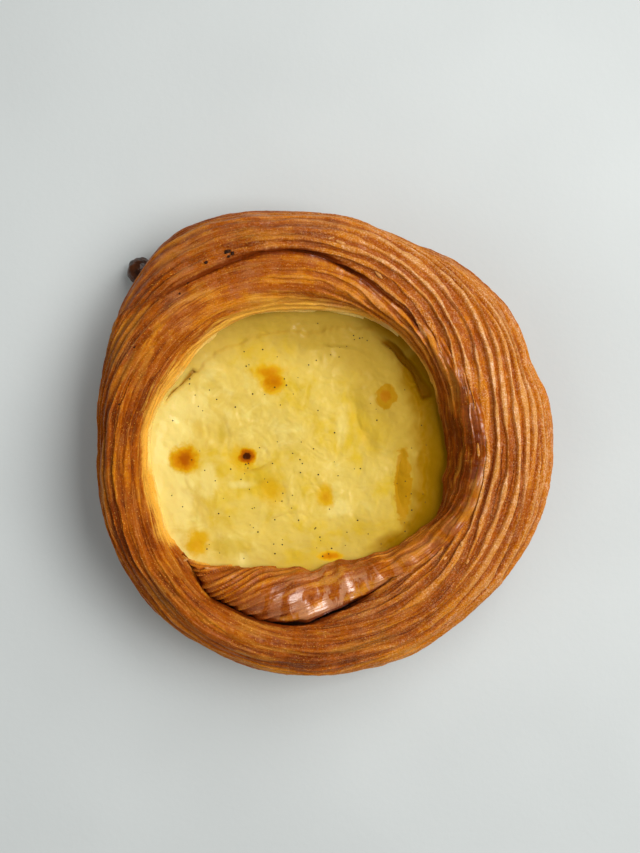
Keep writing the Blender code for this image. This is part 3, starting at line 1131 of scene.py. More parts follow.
@dataclass
class StripTurn:
    """One stretch of the coiled strip as a closed shell with a fine skin and a coarse hidden core.

    first and last are its coil angles. inner_steps and outer_steps are the points of the curves on
    the two sides of the crest. core is the height of the hidden underside. Past its edges the skin
    turns under: tuck is how far down it goes, tip how far inwards at the custard, and lip how far
    inwards at the outline.
    """

    name: str
    coil: Coil
    look: StripLook
    first: float
    last: float
    columns: int = 330
    rows: int = 270
    inner_steps: int = 80
    outer_steps: int = 100
    core: float = 3.0
    tuck: float = 5.0
    tip: float = 0.6
    lip: float = 1.3

    def edges(self, angle: np.ndarray) -> tuple[np.ndarray, ...]:
        """Find the strip's two edges.

        Args:
            angle: Coil angles.

        Returns:
            Radii and heights of the inner edge, then of the outer edge.
        """
        coil = self.coil
        second = angle >= coil.start + TURN
        inner_r = np.where(second, coil.seam_radius(angle - TURN), coil.well_radius(angle))
        inner_z = np.where(second, coil.seam_height(angle - TURN), coil.well_edge)
        open_side = angle >= coil.open_from
        outer_r = np.where(open_side, coil.rim_radius(angle), coil.seam_radius(angle))
        outer_z = np.where(open_side, coil.bulge, coil.seam_height(angle))
        return inner_r, inner_z, outer_r, outer_z

    def profile(self, angle: float) -> tuple[np.ndarray, ...]:
        """The skin across the strip at one coil angle.

        Args:
            angle: The coil angle.

        Returns:
            Radii and heights of the rows, inner edge first; their lengths along the profile, which
            match the plan radius at the crest; and those lengths of the inner edge, the crest and
            the outer edge.
        """
        coil = self.coil
        second = angle >= coil.start + TURN
        where, seam_angle = np.array(angle), np.array(angle - TURN if second else angle)
        inner_r, inner_z, outer_r, outer_z = (float(edge) for edge in self.edges(where))
        depth, width = coil.corner
        smooth_inner = inner_r - depth * math.exp(-0.5 * ((angle - coil.start - TURN) / width) ** 2)
        share = float(coil.along(coil.crest_share, where))
        crest_r = smooth_inner + (outer_r - smooth_inner) * share
        crest_z = float(coil.crest_height(where))
        lean = float(ease(np.array((share - 0.55) / 0.3)))
        turn = np.linspace(QUARTER, 0.0, self.inner_steps)
        inner = crest_r - (crest_r - inner_r) * np.sin(turn) ** (1.0 + 0.5 * lean)
        rise = inner_z + (crest_z - inner_z) * np.cos(turn) ** (ROUNDNESS + 0.3 * lean)
        turn = np.linspace(0.0, QUARTER, self.outer_steps)[1:]
        outer = crest_r + (outer_r - crest_r) * np.sin(turn)
        fall = outer_z + (crest_z - outer_z) * np.cos(turn) ** ROUNDNESS
        radius, height = np.concatenate((inner, outer)), np.concatenate((rise, fall))
        flush = float(coil.flush(seam_angle)) * (angle < coil.open_from or second)
        if flush > 0.0:
            first = 0 if second else len(inner)
            side_r, side_z = coil.side(seam_angle, len(radius) - first, second)
            radius[first:] += (side_r - radius[first:]) * flush
            height[first:] += (side_z - height[first:]) * flush
        before, after = self._tucks(angle, (inner_r, height[0]), (outer_r, height[-1]))
        radius = np.concatenate((before[0], radius, after[0]))
        height = np.concatenate((before[1], height, after[1]))
        steps = np.concatenate(([0.0], np.cumsum(np.hypot(np.diff(radius), np.diff(height)))))
        edge = len(before[0])
        marks = steps[[edge, edge + len(inner) - 1, edge + len(inner) + len(outer) - 1]]
        radius, height, travelled = resample(radius, height, self.rows)
        return radius, height, travelled - marks[1] + crest_r, marks - marks[1] + crest_r

    def _tucks(self, angle: float, inner: Place, outer: Place) -> tuple[tuple, tuple]:
        """The skin's two ends, which turn under beyond the strip's edges.

        Args:
            angle: The coil angle.
            inner: Radius and height of the inner edge.
            outer: Radius and height of the outer edge.

        Returns:
            Radii and heights before the inner edge, and those after the outer edge.
        """
        coil = self.coil
        second = angle >= coil.start + TURN
        seam_angle = np.array(angle - TURN if second else angle)
        tuck = np.linspace(1.0, 0.0, 12)[:-1]
        lap = float(coil.along_seam(coil.overlap, seam_angle))
        under = QUARTER * tuck
        if second:
            before = inner[0] - lap * np.sin(under), inner[1] - self.tuck * (1.0 - np.cos(under))
        else:
            before = inner[0] - self.tip * tuck, inner[1] - self.tuck * tuck
        tuck, under = tuck[::-1], under[::-1]
        out = float(ease(np.array((angle - coil.open_from) / 14.0 + 1.0)))
        after_r = outer[0] + (1.0 - out) * lap * np.sin(under) - out * self.lip * tuck ** 1.5
        after_z = outer[1] - (1.0 - out) * self.tuck * (1.0 - np.cos(under)) - out * 1.1 * self.lip * tuck
        return before, (after_r, after_z)

    def build(self, relief: FormGraph) -> bpy.types.Object:
        """Make the shell and run the leaf relief over it.

        Args:
            relief: The relief's tree.

        Returns:
            The shell as a closed mesh.
        """
        coil = self.coil
        step = (self.last - self.first) / (self.columns - 1)
        angles = np.linspace(self.first - step, self.last + step, self.columns + 2)
        across = [self.profile(float(angle)) for angle in angles]
        radius, height, reach, marks = (np.array(part) for part in zip(*across))
        under_r = np.stack((radius[:, -1] - 1.5, radius[:, 0] + 0.8), axis=1)
        under_r[:, 0] = np.maximum(under_r[:, 0], under_r[:, 1] + 0.2)
        radius = np.concatenate((radius, under_r), axis=1)
        height = np.concatenate((height, np.full_like(under_r, self.core)), axis=1)
        rows = radius.shape[1]
        grid = polar_grid(coil.middle, angles, radius, height)
        lift = outward(grid, False)[1:-1].reshape(-1, 3)
        faces = grid_faces(self.columns, rows, False, True)
        last = (self.columns - 1) * rows
        faces.append(list(reversed(range(rows))))
        faces.append([last + row for row in range(rows)])
        values = self._values(angles[1:-1], reach[1:-1], marks[1:-1], rows)
        return relief.apply(to_object(self.name, grid[1:-1].reshape(-1, 3), faces, values, lift))

    def _values(
        self, angles: np.ndarray, reach: np.ndarray, marks: np.ndarray, rows: int
    ) -> dict[str, np.ndarray]:
        """Named values of the shell's vertices.

        Args:
            angles: The columns' coil angles.
            reach: Length along the profile of each row of the skin.
            marks: Those lengths of the inner edge, the crest and the outer edge.
            rows: How many rows there are with the core's.

        Returns:
            Columns by rows for each name that the leaf relief and the finish read.
        """
        coil, look = self.coil, self.look

        def column(table: tuple[float, ...]) -> np.ndarray:
            """One of the look's tables at the columns."""
            return coil.along(table, angles)[:, None]

        spread = np.ones((1, rows))
        ends = np.minimum(angles - coil.start, coil.end - angles)
        skin = skin_mask(len(angles), rows, 0, self.rows, 6.0) * ease(np.clip(ends / 6.0, 0.0, 1.0))[:, None]
        full = np.concatenate((reach, np.repeat(reach[:, -1:], rows - self.rows, axis=1)), axis=1)
        first_turn = angles < coil.start + TURN
        around = np.where(first_turn, angles, angles - TURN)
        inset, past, left = full - marks[:, :1], full - marks[:, 1:2], marks[:, 2:] - full
        gap = np.where(first_turn[:, None], left, inset)
        raw = coil.along(look.pale, angles) * ease((coil.start + TURN + 1.0 - angles) / 12.0)
        seam_shadow = coil.along(look.seam_shadow, around) * ease((coil.end - TURN - around) / 20.0)
        shine = coil.along(look.shine, around) * first_turn
        drop = coil.along(coil.seam_drop, around)[:, None]
        sheet = column(look.sheet) * spread
        seam_gloss = shine[:, None] * np.exp(-((gap - 0.6) / 1.4) ** 2)
        foot = np.clip(1.3 - left / 12.0, 0.0, 1.0) * column(look.foot)
        inward = column(look.toast)
        fade = 1.0 - 0.35 * ease((past - SIDE_FROM) / 5.0) - 0.35 * ease((past - 14.0) / 6.0)
        return {
            "leaf": (full - column(look.line) + 0.6 * np.maximum(past - SIDE_FROM, 0.0)) / look.pitch,
            "run": np.radians(angles)[:, None] * RUN_RADIUS * spread,
            "relief": column(look.relief) * skin * fade,
            "sheet": sheet,
            "gloss": np.maximum(sheet * (0.1 + 0.9 * ease((past + 5.0) / 4.0)), seam_gloss),
            "toast": inward + (column(look.toast_out) - inward) * ease((past + 1.0) / 6.0) - foot * 1.1,
            # frost carries the painted glints along with the sugar.
            "frost_and_glint": column(look.frost_and_glint) + foot * 0.5,
            "pale": raw[:, None] * np.clip(1.5 - inset / column(look.pale_width), 0.0, 1.5),
            "fine": column(look.fine) * (1.0 - 0.65 * ease((past - 12.0) / 6.0)),
            # bloom is the share of painted sheen.
            "painted_sheen": column(look.painted_sheen) * spread,
            # scorch paints shade into the seam's crevice.
            "seam_shade": seam_shadow[:, None] * np.clip(1.2 - gap / (0.9 + 0.5 * drop), 0.0, 1.0),
            "skin": skin,
        }


@dataclass
class Base:
    """The pastry's foot: its lower side, its sole and the floor of the well, as one closed shell.

    step is how far its side stands out from the outline. The flat rows of the floor and the sole run
    from the radius hub to apron short of the outline. calm is the plan angle round which its leaves
    lie flat. On its side the leaves are counted from leaf_from and are closer by crowding.
    """

    name: str
    coil: Coil
    look: StripLook
    columns: int = 620
    rows: int = 80
    undercut: float = 5.0
    floor: float = 6.5
    hub: float = 12.0
    apron: float = 14.0
    calm: float = 162.0
    leaf_from: float = 62.0
    crowding: float = 0.7
    step: tuple[float, ...] = (-0.5, -0.5, -0.5, -0.5, -0.5, -0.4, -0.2, 0.1, 0.3, 0.3, 0.1, -0.3)
    # How sugary the foot is and how many painted glints it gets; highest on the right, where the light falls.
    frost_and_glint: tuple[float, ...] = (0.5, 0.5, 0.4, 0.3, 0.2, 0.1, 0.1, 0.1, 0.2, 0.3, 0.4, 0.5)
    pale: tuple[float, ...] = (0.0, 0.0, 0.0, 0.0, 0.0, 0.1, 0.2, 0.4, 0.7, 0.7, 0.5, 0.2)

    def build(self, relief: FormGraph) -> bpy.types.Object:
        """Make the shell and run the leaf relief over it.

        Args:
            relief: The relief's tree.

        Returns:
            The shell as a closed mesh.
        """
        coil = self.coil
        angles = np.linspace(0.0, TURN, self.columns, endpoint=False)
        rim = coil.rim_radius(angles) + ring_spline(self.step, angles)
        radius, height, reach = (np.array(part) for part in zip(*(self._profile(outline) for outline in rim)))
        grid = polar_grid(coil.middle, angles, radius, height)
        points, faces, lift = close_ring(grid, coil.middle, self.floor, 0.0)
        values = self._values(angles, reach, radius.shape[1])
        values = {label: np.append(numbers.ravel(), (0.0, 0.0)) for label, numbers in values.items()}
        return relief.apply(to_object(self.name, points, faces, values, lift))

    def _profile(self, outline: float) -> tuple[np.ndarray, np.ndarray, np.ndarray]:
        """The shell's section from the well's floor over the side to the sole.

        Args:
            outline: Radius of its widest part.

        Returns:
            Radii, heights and lengths along the side.
        """
        turn = np.linspace(-0.35, 1.0, 90) * QUARTER
        side_r = outline - self.undercut * (1.0 - np.cos(turn)) ** 1.3
        side_z = self.coil.bulge - 1.5 - (self.coil.bulge - 2.3) * np.sin(turn)
        radius, height, travelled = resample(side_r, side_z, self.rows)
        flat = outline - self.apron
        inward = np.array([self.hub, flat])
        sole = np.array([outline - self.undercut - 1.5, flat, self.hub])
        radius = np.concatenate((inward, radius, sole))
        height = np.concatenate(([self.floor, self.floor], height, [0.0, 0.0, 0.0]))
        travelled = np.concatenate(([0.0, 0.0], travelled, np.full(3, travelled[-1])))
        return radius, height, travelled

    def _values(self, angles: np.ndarray, reach: np.ndarray, rows: int) -> dict[str, np.ndarray]:
        """Named values of the shell's vertices.

        Args:
            angles: The columns' plan angles.
            reach: Length along the profile of each row.
            rows: How many rows there are.

        Returns:
            Columns by rows for each name that the leaf relief and the finish read.
        """
        spread = np.ones((1, rows))
        skin = skin_mask(len(angles), rows, 2, self.rows, 5.0)
        outer = angles + TURN * (angles < self.coil.end - 2.0 * TURN) + TURN
        outer = np.where(outer > self.coil.end, outer - TURN, outer)
        line = self.coil.along(self.look.line, outer)[:, None]
        ring = np.abs((angles - self.calm + HALF_TURN) % TURN - HALF_TURN)[:, None]
        return {
            "leaf": (reach + self.leaf_from - line) / (self.look.pitch * self.crowding),
            "run": np.radians(angles)[:, None] * RUN_RADIUS * spread,
            "relief": 0.35 * skin * ease(ring / 8.0),
            "sheet": 0.05 * skin,
            "gloss": 0.05 * skin,
            # frost carries the painted glints along with the sugar.
            "frost_and_glint": ring_spline(self.frost_and_glint, angles)[:, None] * spread,
            "fine": 0.35 * skin,
            # bloom is the share of painted sheen.
            "painted_sheen": 0.5 * skin,
            "toast": 0.75 * np.ones_like(skin),
            "pale": ring_spline(self.pale, angles)[:, None] * spread * 0.6,
            "seam_shade": np.zeros_like(skin),
            "skin": skin,
        }


def leaf_relief(material: bpy.types.Material) -> FormGraph:
    """The tree that raises the crust's leaves into ridges and roughens its skin.

    Args:
        material: The crust's material.

    Returns:
        The tree, which reads leaf, run, relief, fine, sheet and skin, and stores ridge, thread,
        crease and tone.
    """
    sizes = {
        "Leaf Depth": 1.0 * MM,
        "Thread Depth": 0.18 * MM,
        "Crease Depth": 0.30 * MM,
        "Wrinkle Depth": 2.0 * MM,
        "Blister Depth": 0.16 * MM,
        "Lump Depth": 0.8 * MM,
        "Roll Depth": 1.0 * MM,
        "Seed": 4.0,
    }
    graph = FormGraph("leaf_relief", sizes)
    leaf, run, relief = (graph.attribute(name) for name in ("leaf", "run", "relief"))
    fine, sheet, skin = (graph.attribute(name) for name in ("fine", "sheet", "skin"))
    seed = graph.size("Seed")
    place = graph.position()

    wander = graph.strands(leaf * 0.35, run * 0.032, seed, 2.0) - 0.5
    jitter = graph.strands(leaf * 1.3, run * 0.22, seed + 5.0, 2.0, 0.6) - 0.5
    bent = leaf + wander * 1.9 + jitter * 0.28
    cell = graph.math("FLOOR", bent)
    away = graph.math("ABSOLUTE", (bent - cell) * 2.0 - 1.0)
    width = graph.strands(cell * 3.7, run * 0.06, seed + 7.0, 2.0)
    width = graph.smooth(width, 0.3, 0.7) * 0.60 + 0.04
    ridge = graph.clamp((width + 0.18 - away) / 0.26)
    ridge = ridge * ridge * (3.0 - ridge * 2.0)
    crown = 1.0 - away * away * 0.3
    tone = graph.strands(cell * 7.3, run * 0.03, seed + 29.0, 2.0)
    strength = graph.strands(cell * 5.1, run * 0.035, seed + 17.0, 1.0)
    strength = graph.smooth(strength, 0.2, 0.55)
    leaves = ridge * crown * strength

    open_crease = graph.strands(cell * 9.1, run * 0.05, seed + 37.0, 1.0)
    crease = graph.smooth(away, 0.8, 1.0) * graph.smooth(open_crease, 0.42, 0.6) * skin * (fine * 0.6 + 0.4)

    split = graph.strands(leaf * 0.9, run * 0.06, seed + 13.0, 2.0) - 0.5
    thin = bent * 2.7 + split * 2.4
    thin_cell = graph.math("FLOOR", thin)
    thin_away = graph.math("ABSOLUTE", (thin - thin_cell) * 2.0 - 1.0)
    thin_strength = graph.strands(thin_cell * 5.3, run * 0.05, seed + 3.0, 1.0)
    thread = graph.smooth(thin_away, 0.3, 1.0) * graph.smooth(thin_strength, 0.36, 0.66) * fine

    roll = graph.strands(leaf * 0.3, run * 0.028, seed + 23.0, 1.0) - 0.5
    folds = graph.strands(leaf * 0.17, run * 0.12, seed, 1.2, 0.5) - 0.5
    blister = graph.noise(place, 0.9, 3.0, 0.6) - 0.5
    lumps = graph.noise(place, 0.085, 2.0, 0.5) - 0.5

    calm = 1.0 - sheet * 0.7
    push = graph.size("Leaf Depth") * relief * (leaves - 0.4)
    push = push - graph.size("Thread Depth") * skin * thread * calm
    push = push - graph.size("Crease Depth") * crease * (1.0 - sheet * 0.8)
    push = push + graph.size("Roll Depth") * skin * roll * 2.0
    push = push + graph.size("Wrinkle Depth") * skin * sheet * folds * 2.0
    push = push + graph.size("Blister Depth") * skin * blister * 2.0 * calm
    push = push + graph.size("Lump Depth") * skin * lumps * 2.0
    graph.store("ridge", leaves * graph.smooth(relief, 0.15, 1.0))
    graph.store("thread", thread * skin)
    graph.store("crease", crease * (1.0 - sheet * 0.8))
    graph.store("tone", tone)
    graph.push(push, graph.lift())
    graph.finish(material)
    return graph


@dataclass(frozen=True)
class Ditch:
    """A groove round part of the custard: its plan angles, and inset and half width at its two ends."""

    span: Place
    inset: Place
    width: Place
    depth: float

    def dip(self, angle: np.ndarray, inset: np.ndarray) -> np.ndarray:
        """How far the custard drops in the groove.

        Args:
            angle: Plan angles in degrees.
            inset: How far inside the custard's edge.

        Returns:
            A depth for each place.
        """
        first, last = self.span
        share = ((angle - first + 90.0) % TURN - 90.0) / (last - first)
        inside = ease(share / 0.06 + 0.5) * ease((1.0 - share) / 0.25)
        held = np.clip(share, 0.0, 1.0)
        at = self.inset[0] + (self.inset[1] - self.inset[0]) * held + 0.15 * np.sin(angle * 0.5)
        width = self.width[0] + (self.width[1] - self.width[0]) * held
        away = np.abs(inset - at) / width
        return self.depth * inside * ease(1.6 - away)


@dataclass(frozen=True)
class Hollow:
    """A shallow oval hollow in the custard, which is deepest at its edge on one side."""

    at: Place
    half: Place
    turn: float
    depth: float
    steep: float
    edge: float = 0.25

    def dip(self, x: np.ndarray, y: np.ndarray) -> np.ndarray:
        """How far the custard drops in the hollow.

        Args:
            x: Places to the right of the middle, in millimetres.
            y: Places behind it.

        Returns:
            A depth for each place.
        """
        cosine, sine = math.cos(math.radians(self.turn)), math.sin(math.radians(self.turn))
        x, y = x - self.at[0], y - self.at[1]
        along = (x * cosine + y * sine) / self.half[0]
        across = (y * cosine - x * sine) / self.half[1]
        side = math.radians(self.steep - self.turn)
        lean = np.clip((along * math.cos(side) + across * math.sin(side) + 1.0) / 2.0, 0.0, 1.0)
        return self.depth * lean * ease((1.0 - np.hypot(along, across)) / self.edge)


@dataclass
class Custard:
    """The custard that fills the well: a dipped skin that has drawn back from the crust in places.

    level is the height of its middle, edge that of its edge, and base that of its underside. reach
    is how far it runs under the crust. By plan angle, damp says how strongly the edge turns mustard,
    partly as wet custard and partly as painted shade, and shade how strongly it is darkened; their
    widths say how far in. milk is how strongly painted light makes it paler, and shelf_width how
    far in the raised middle starts.
    """

    name: str
    coil: Coil
    columns: int = 420
    rows: int = 150
    level: float = 17.6
    base: float = 8.0
    edge: float = 19.1
    reach: float = 1.0
    ditches: tuple[Ditch, ...] = (
        Ditch((21.0, 56.0), (3.6, 3.8), (1.15, 0.25), 1.7),
        Ditch((146.0, 165.0), (3.2, 1.0), (0.9, 0.3), 0.9),
    )
    hollows: tuple[Hollow, ...] = (
        Hollow((-17.3, -1.0), (7.6, 6.2), 20.0, 0.9, 225.0, 0.22),
        Hollow((8.9, 5.4), (8.6, 2.8), -70.0, 0.6, 200.0, 0.6),
        Hollow((18.6, -9.4), (8.4, 2.8), 92.0, 0.7, 180.0, 0.3),
        Hollow((-14.0, -10.6), (3.6, 3.0), 10.0, 0.5, 200.0, 0.4),
        Hollow((-0.4, -12.0), (3.4, 4.8), 0.0, 0.6, 60.0, 0.8),
        Hollow((-25.6, 3.4), (3.4, 5.0), 20.0, 0.5, 300.0, 0.35),
        Hollow((-27.0, -23.0), (6.6, 4.0), -25.0, 0.6, 250.0, 0.6),
        Hollow((4.0, 20.0), (9.0, 3.6), -10.0, 0.6, 90.0, 0.3),
        Hollow((-9.0, -19.0), (7.0, 3.6), 10.0, 0.5, 120.0, 0.3),
    )
    # How strongly the edge turns mustard, partly wet and partly painted shade; highest on the right.
    damp_and_shade: tuple[float, ...] = (1.05, 0.90, 0.45, 0.25, 0.20, 0.15, 0.0, 0.0, 0.15, 0.25, 0.5, 0.95)
    damp_and_shade_width: tuple[float, ...] = (11.5, 10.0, 5.0, 3.0, 3.0, 2.5, 2.0, 2.0, 3.0, 3.0, 4.5, 8.5)
    shade: tuple[float, ...] = (0.95, 1.30, 1.15, 1.00, 0.70, 0.45, 0.05, 0.0, 0.30, 0.45, 0.55, 0.70)
    shade_width: tuple[float, ...] = (27.0, 29.0, 25.0, 18.5, 16.0, 10.0, 4.0, 4.0, 14.0, 16.0, 19.0, 24.0)
    # How strongly painted light makes each part paler; highest on the left, which faces the light.
    painted_glow: tuple[float, ...] = (0.0, 0.0, 0.0, 0.0, 0.1, 0.5, 1.2, 1.3, 0.6, 0.1, 0.0, 0.0)
    shelf_width: tuple[float, ...] = (6.2, 6.0, 4.0, 6.0, 5.5, 3.0, -2.0, -2.0, -2.0, -1.0, 1.0, 4.5)

    def build(self, material: bpy.types.Material) -> bpy.types.Object:
        """Make the custard as a closed mesh.

        Args:
            material: Its finish.

        Returns:
            The custard, with free, shelf, damp, hollow, milk and shade on its vertices.
        """
        coil = self.coil
        angles = np.linspace(0.0, TURN, self.columns, endpoint=False)
        share = (np.arange(1, self.rows + 1) / self.rows)[None, :]
        rim = (coil.well_radius(angles) + self.reach)[:, None]
        radius = rim * share
        inset = rim - radius
        hollow = sum(ditch.dip(angles[:, None], inset) for ditch in self.ditches)
        plan = polar_grid(coil.middle, angles, radius, np.zeros_like(radius))
        dips = sum(dent.dip(plan[:, :, 0], plan[:, :, 1]) for dent in self.hollows)
        climb = share ** 9
        height = self.level + (self.edge - self.level) * climb - hollow - dips * (1.0 - climb)
        radius = np.concatenate((radius, rim, rim - 3.0), axis=1)
        height = np.concatenate((height, np.tile([[self.edge - 3.0, self.base]], (self.columns, 1))), axis=1)
        grid = polar_grid(coil.middle, angles, radius, height)
        points, faces, lift = close_ring(grid, coil.middle, self.level, self.base)

        def near(strength: tuple[float, ...], width: tuple[float, ...] | float, start: float) -> np.ndarray:
            """A ring of strengths that fade within a width of the edge."""
            across = ring_spline(width, angles)[:, None] if isinstance(width, tuple) else width
            return ring_spline(strength, angles)[:, None] * ease(start - inset / across)

        values = {
            "free": 1.0 - share ** 20 * np.ones_like(rim),
            "shelf": inset - ring_spline(self.shelf_width, angles)[:, None],
            "damp_and_shade": near(self.damp_and_shade, self.damp_and_shade_width, 1.25),
            "hollow": hollow / 1.8,
            "painted_glow": near(self.painted_glow, 13.0, 1.1),
            "shade": near(self.shade, self.shade_width, 1.1),
        }
        for label, numbers in values.items():
            whole = np.concatenate((numbers, np.repeat(numbers[:, -1:], 2, axis=1)), axis=1)
            values[label] = np.append(whole.ravel(), (numbers[0, 0], 0.0))
        return self._swirl(material).apply(to_object(self.name, points, faces, values, lift))

    @staticmethod
    def _swirl(material: bpy.types.Material) -> FormGraph:
        """The tree that gives the custard its soft relief.

        Args:
            material: The custard's finish.

        Returns:
            The tree, which reads free and shelf.
        """
        sizes = {"Swell": 1.5 * MM, "Curd": 0.46 * MM, "Shelf": 0.6 * MM, "Seed": 2.0}
        graph = FormGraph("custard_swirl", sizes)
        place = graph.position()
        free = graph.attribute("free")
        seeded = graph.vector_math("ADD", {0: place, 1: graph.vector(0.0, 0.0, graph.size("Seed") * 31.0)})
        broad = graph.noise(seeded, 0.07, 1.0) - 0.5
        bent = graph.noise(seeded, 0.17, 2.0, 0.5, 0.8) - 0.5
        fine = graph.noise(seeded, 0.45, 2.0, 0.5, 0.5) - 0.5
        push = graph.size("Swell") * broad * 2.0 + graph.size("Curd") * (bent * 2.0 + fine * 0.9)
        ragged = graph.attribute("shelf") + bent * 4.0 + fine * 1.5
        push = push + graph.size("Shelf") * graph.smooth(ragged, -0.7, 0.7)
        graph.push(push * free, graph.lift())
        graph.finish(material)
        return graph


@dataclass
class Seeds:
    """Specks of vanilla seed scattered over the custard, of widths that vary by spread either way."""

    name: str
    count_per_mm2: float = 0.042
    width: float = 0.33
    spread: float = 0.3

    def build(self, custard: bpy.types.Object, material: bpy.types.Material) -> bpy.types.Object:
        """Scatter the seeds.

        Args:
            custard: The finished custard.
            material: The seeds' finish.

        Returns:
            All the seeds as one mesh.
        """
        return self._scatter(material).apply(add_object(self.name, custard.data.copy()))

    def _scatter(self, material: bpy.types.Material) -> FormGraph:
        """The tree that puts small faceted seeds on the custard's skin.

        Args:
            material: The seeds' finish.

        Returns:
            The tree, which reads free.
        """
        sizes = {"Density": self.count_per_mm2 / MM ** 2, "Width": self.width * MM, "Seed": 11}
        graph = FormGraph("vanilla_scatter", sizes)
        free = graph.smooth(graph.attribute("free"), 0.75, 0.97)
        clump = graph.noise(graph.position(), 0.09, 1.0)
        density = graph.size("Density") * free * graph.smooth(clump, 0.25, 0.75) * 2.0
        inputs = {"Mesh": graph.geometry, "Density": density, "Seed": graph.size("Seed")}
        settings = {"distribute_method": "RANDOM"}
        points = graph.node("GeometryNodeDistributePointsOnFaces", settings, inputs)
        seed_ball = graph.node("GeometryNodeMeshIcoSphere", {}, {"Radius": graph.size("Width") * 0.5})
        span = {"Min_001": 1.0 - self.spread, "Max_001": 1.0 + self.spread}
        scale = graph.node("FunctionNodeRandomValue", {"data_type": "FLOAT"}, span)
        inputs = {"Points": points.outputs[0], "Instance": seed_ball.outputs[0], "Scale": scale.outputs[1]}
        graph.geometry = graph.node("GeometryNodeInstanceOnPoints", {}, inputs).outputs[0]
        graph.finish(material)
        return graph


@dataclass
class BurntBead:
    """A drop of filling that ran out under the crust and burnt hard: its middle, half size and lumps."""

    name: str
    at: Spot = (-45.7, 42.3, 3.4)
    half: Spot = (3.1, 3.5, 3.2)
    lump: float = 0.7

    def build(self, material: bpy.types.Material) -> bpy.types.Object:
        """Make the bead.

        Args:
            material: Its finish.

        Returns:
            The bead as a closed mesh.
        """
        width, depth, height = (2.0 * half * MM for half in self.half)
        sizes = {"Width": width, "Depth": depth, "Height": height, "Lump": self.lump * MM}
        graph = FormGraph("burnt_drop", sizes)
        ball = graph.node("GeometryNodeMeshIcoSphere", {}, {"Radius": 0.5, "Subdivisions": 6})
        size = graph.vector(graph.size("Width"), graph.size("Depth"), graph.size("Height"))
        centre = tuple(value * MM for value in self.at)
        inputs = {"Geometry": ball.outputs[0], "Scale": size, "Translation": centre}
        graph.geometry = graph.node("GeometryNodeTransform", {}, inputs).outputs[0]
        place = graph.position()
        bumps = graph.noise(place, 0.33, 3.0, 0.5) - 0.55
        graph.push(bumps * graph.size("Lump") * 2.0, graph.node("GeometryNodeInputNormal").outputs[0])
        graph.finish(material)
        return graph.apply(add_object(self.name, bpy.data.meshes.new(self.name)))


CHAR_BITS = (
    (-22.4, 43.7, 1.5, 1.0, 0.5, 20.0),
    (-21.2, 43.3, 1.0, 0.8, 0.5, 70.0),
    (-22.1, 42.6, 0.7, 0.6, 0.4, 0.0),
    (-27.2, 41.3, 0.9, 0.7, 0.4, 30.0),
    (-31.3, 36.6, 0.5, 0.4, 0.3, 0.0),
    (-33.2, 34.2, 0.5, 0.5, 0.3, 40.0),
    (-43.3, 22.0, 0.5, 0.4, 0.3, 0.0),
    (-46.6, 9.1, 0.5, 0.4, 0.3, 0.0),
    (-49.7, 2.9, 0.5, 0.4, 0.3, 0.0),
)
FLAKE_BITS = (
    (3.3, 45.6, 2.6, 0.7, 0.3, -20.0),
    (1.2, 46.6, 1.6, 0.5, 0.3, 15.0),
    (11.7, 38.5, 2.6, 0.8, 0.3, -52.0),
    (30.6, -22.4, 1.2, 0.8, 0.3, 80.0),
    (27.0, -25.8, 1.2, 0.7, 0.3, 40.0),
    (31.9, -26.4, 1.3, 0.8, 0.4, 70.0),
    (-32.5, -26.8, 1.6, 0.5, 0.3, 25.0),
    (-27.4, -28.6, 1.4, 0.5, 0.3, -10.0),
)


class CrumbKind(Enum):
    """The sorts of loose bit that lie on the crust, each with its two colours and roughness."""

    CHAR = ("char", (0.010, 0.003, 0.001, 1.0), (0.07, 0.02, 0.005, 1.0), 0.7)
    FLAKE = ("flake", (0.66, 0.33, 0.12, 1.0), (0.50, 0.19, 0.03, 1.0), 0.4)


@dataclass
class Crumbs:
    """Loose bits of one kind that lie on the crust: each one's place, plan size, height and turn.

    rough is how far the corners of a bit stand in or out, and curl how far its ends turn up.
    """

    name: str
    kind: CrumbKind
    bits: tuple[tuple[float, float, float, float, float, float], ...]
    rough: float = 0.22
    curl: float = 1.6

    def build(self, crust: list[bpy.types.Object]) -> bpy.types.Object:
        """Make the bits and drop them on the crust.

        Args:
            crust: The finished pieces they may lie on.

        Returns:
            All the bits as one mesh.
        """
        whole = bmesh.new()
        random = np.random.default_rng(len(self.bits))
        for x, y, length, width, thick, turn in self.bits:
            top = max(self._height(piece, x, y) for piece in crust)
            made = bmesh.ops.create_icosphere(whole, subdivisions=2, radius=0.5)["verts"]
            for vertex in made:
                vertex.co *= 1.0 + random.uniform(-self.rough, self.rough)
                curl = thick * self.curl * vertex.co.x ** 2
                vertex.co = Vector((vertex.co.x * length, vertex.co.y * width, vertex.co.z * thick + curl))
            turned = Matrix.Rotation(math.radians(turn), 4, "Z")
            place = Matrix.Translation((x, y, top + thick * 0.2)) @ turned
            bmesh.ops.transform(whole, matrix=Matrix.Scale(MM, 4) @ place, verts=made)
        bmesh.ops.recalc_face_normals(whole, faces=whole.faces)
        mesh = bpy.data.meshes.new(self.name)
        whole.to_mesh(mesh)
        whole.free()
        mesh.shade_smooth()
        name, first, second, roughness = self.kind.value
        mesh.materials.append(Speckle(name, first, second, roughness).material())
        return add_object(self.name, mesh)

    @staticmethod
    def _height(piece: bpy.types.Object, x: float, y: float) -> float:
        """Height of a piece's top at a place, or 0 beside it."""
        hit, where, _, _ = piece.ray_cast(Vector((x, y, 100.0)) * MM, Vector((0.0, 0.0, -1.0)))
        return where.z / MM if hit else 0.0


# ---------------------------------------------------------------------------------------------
# Studio
# ---------------------------------------------------------------------------------------------


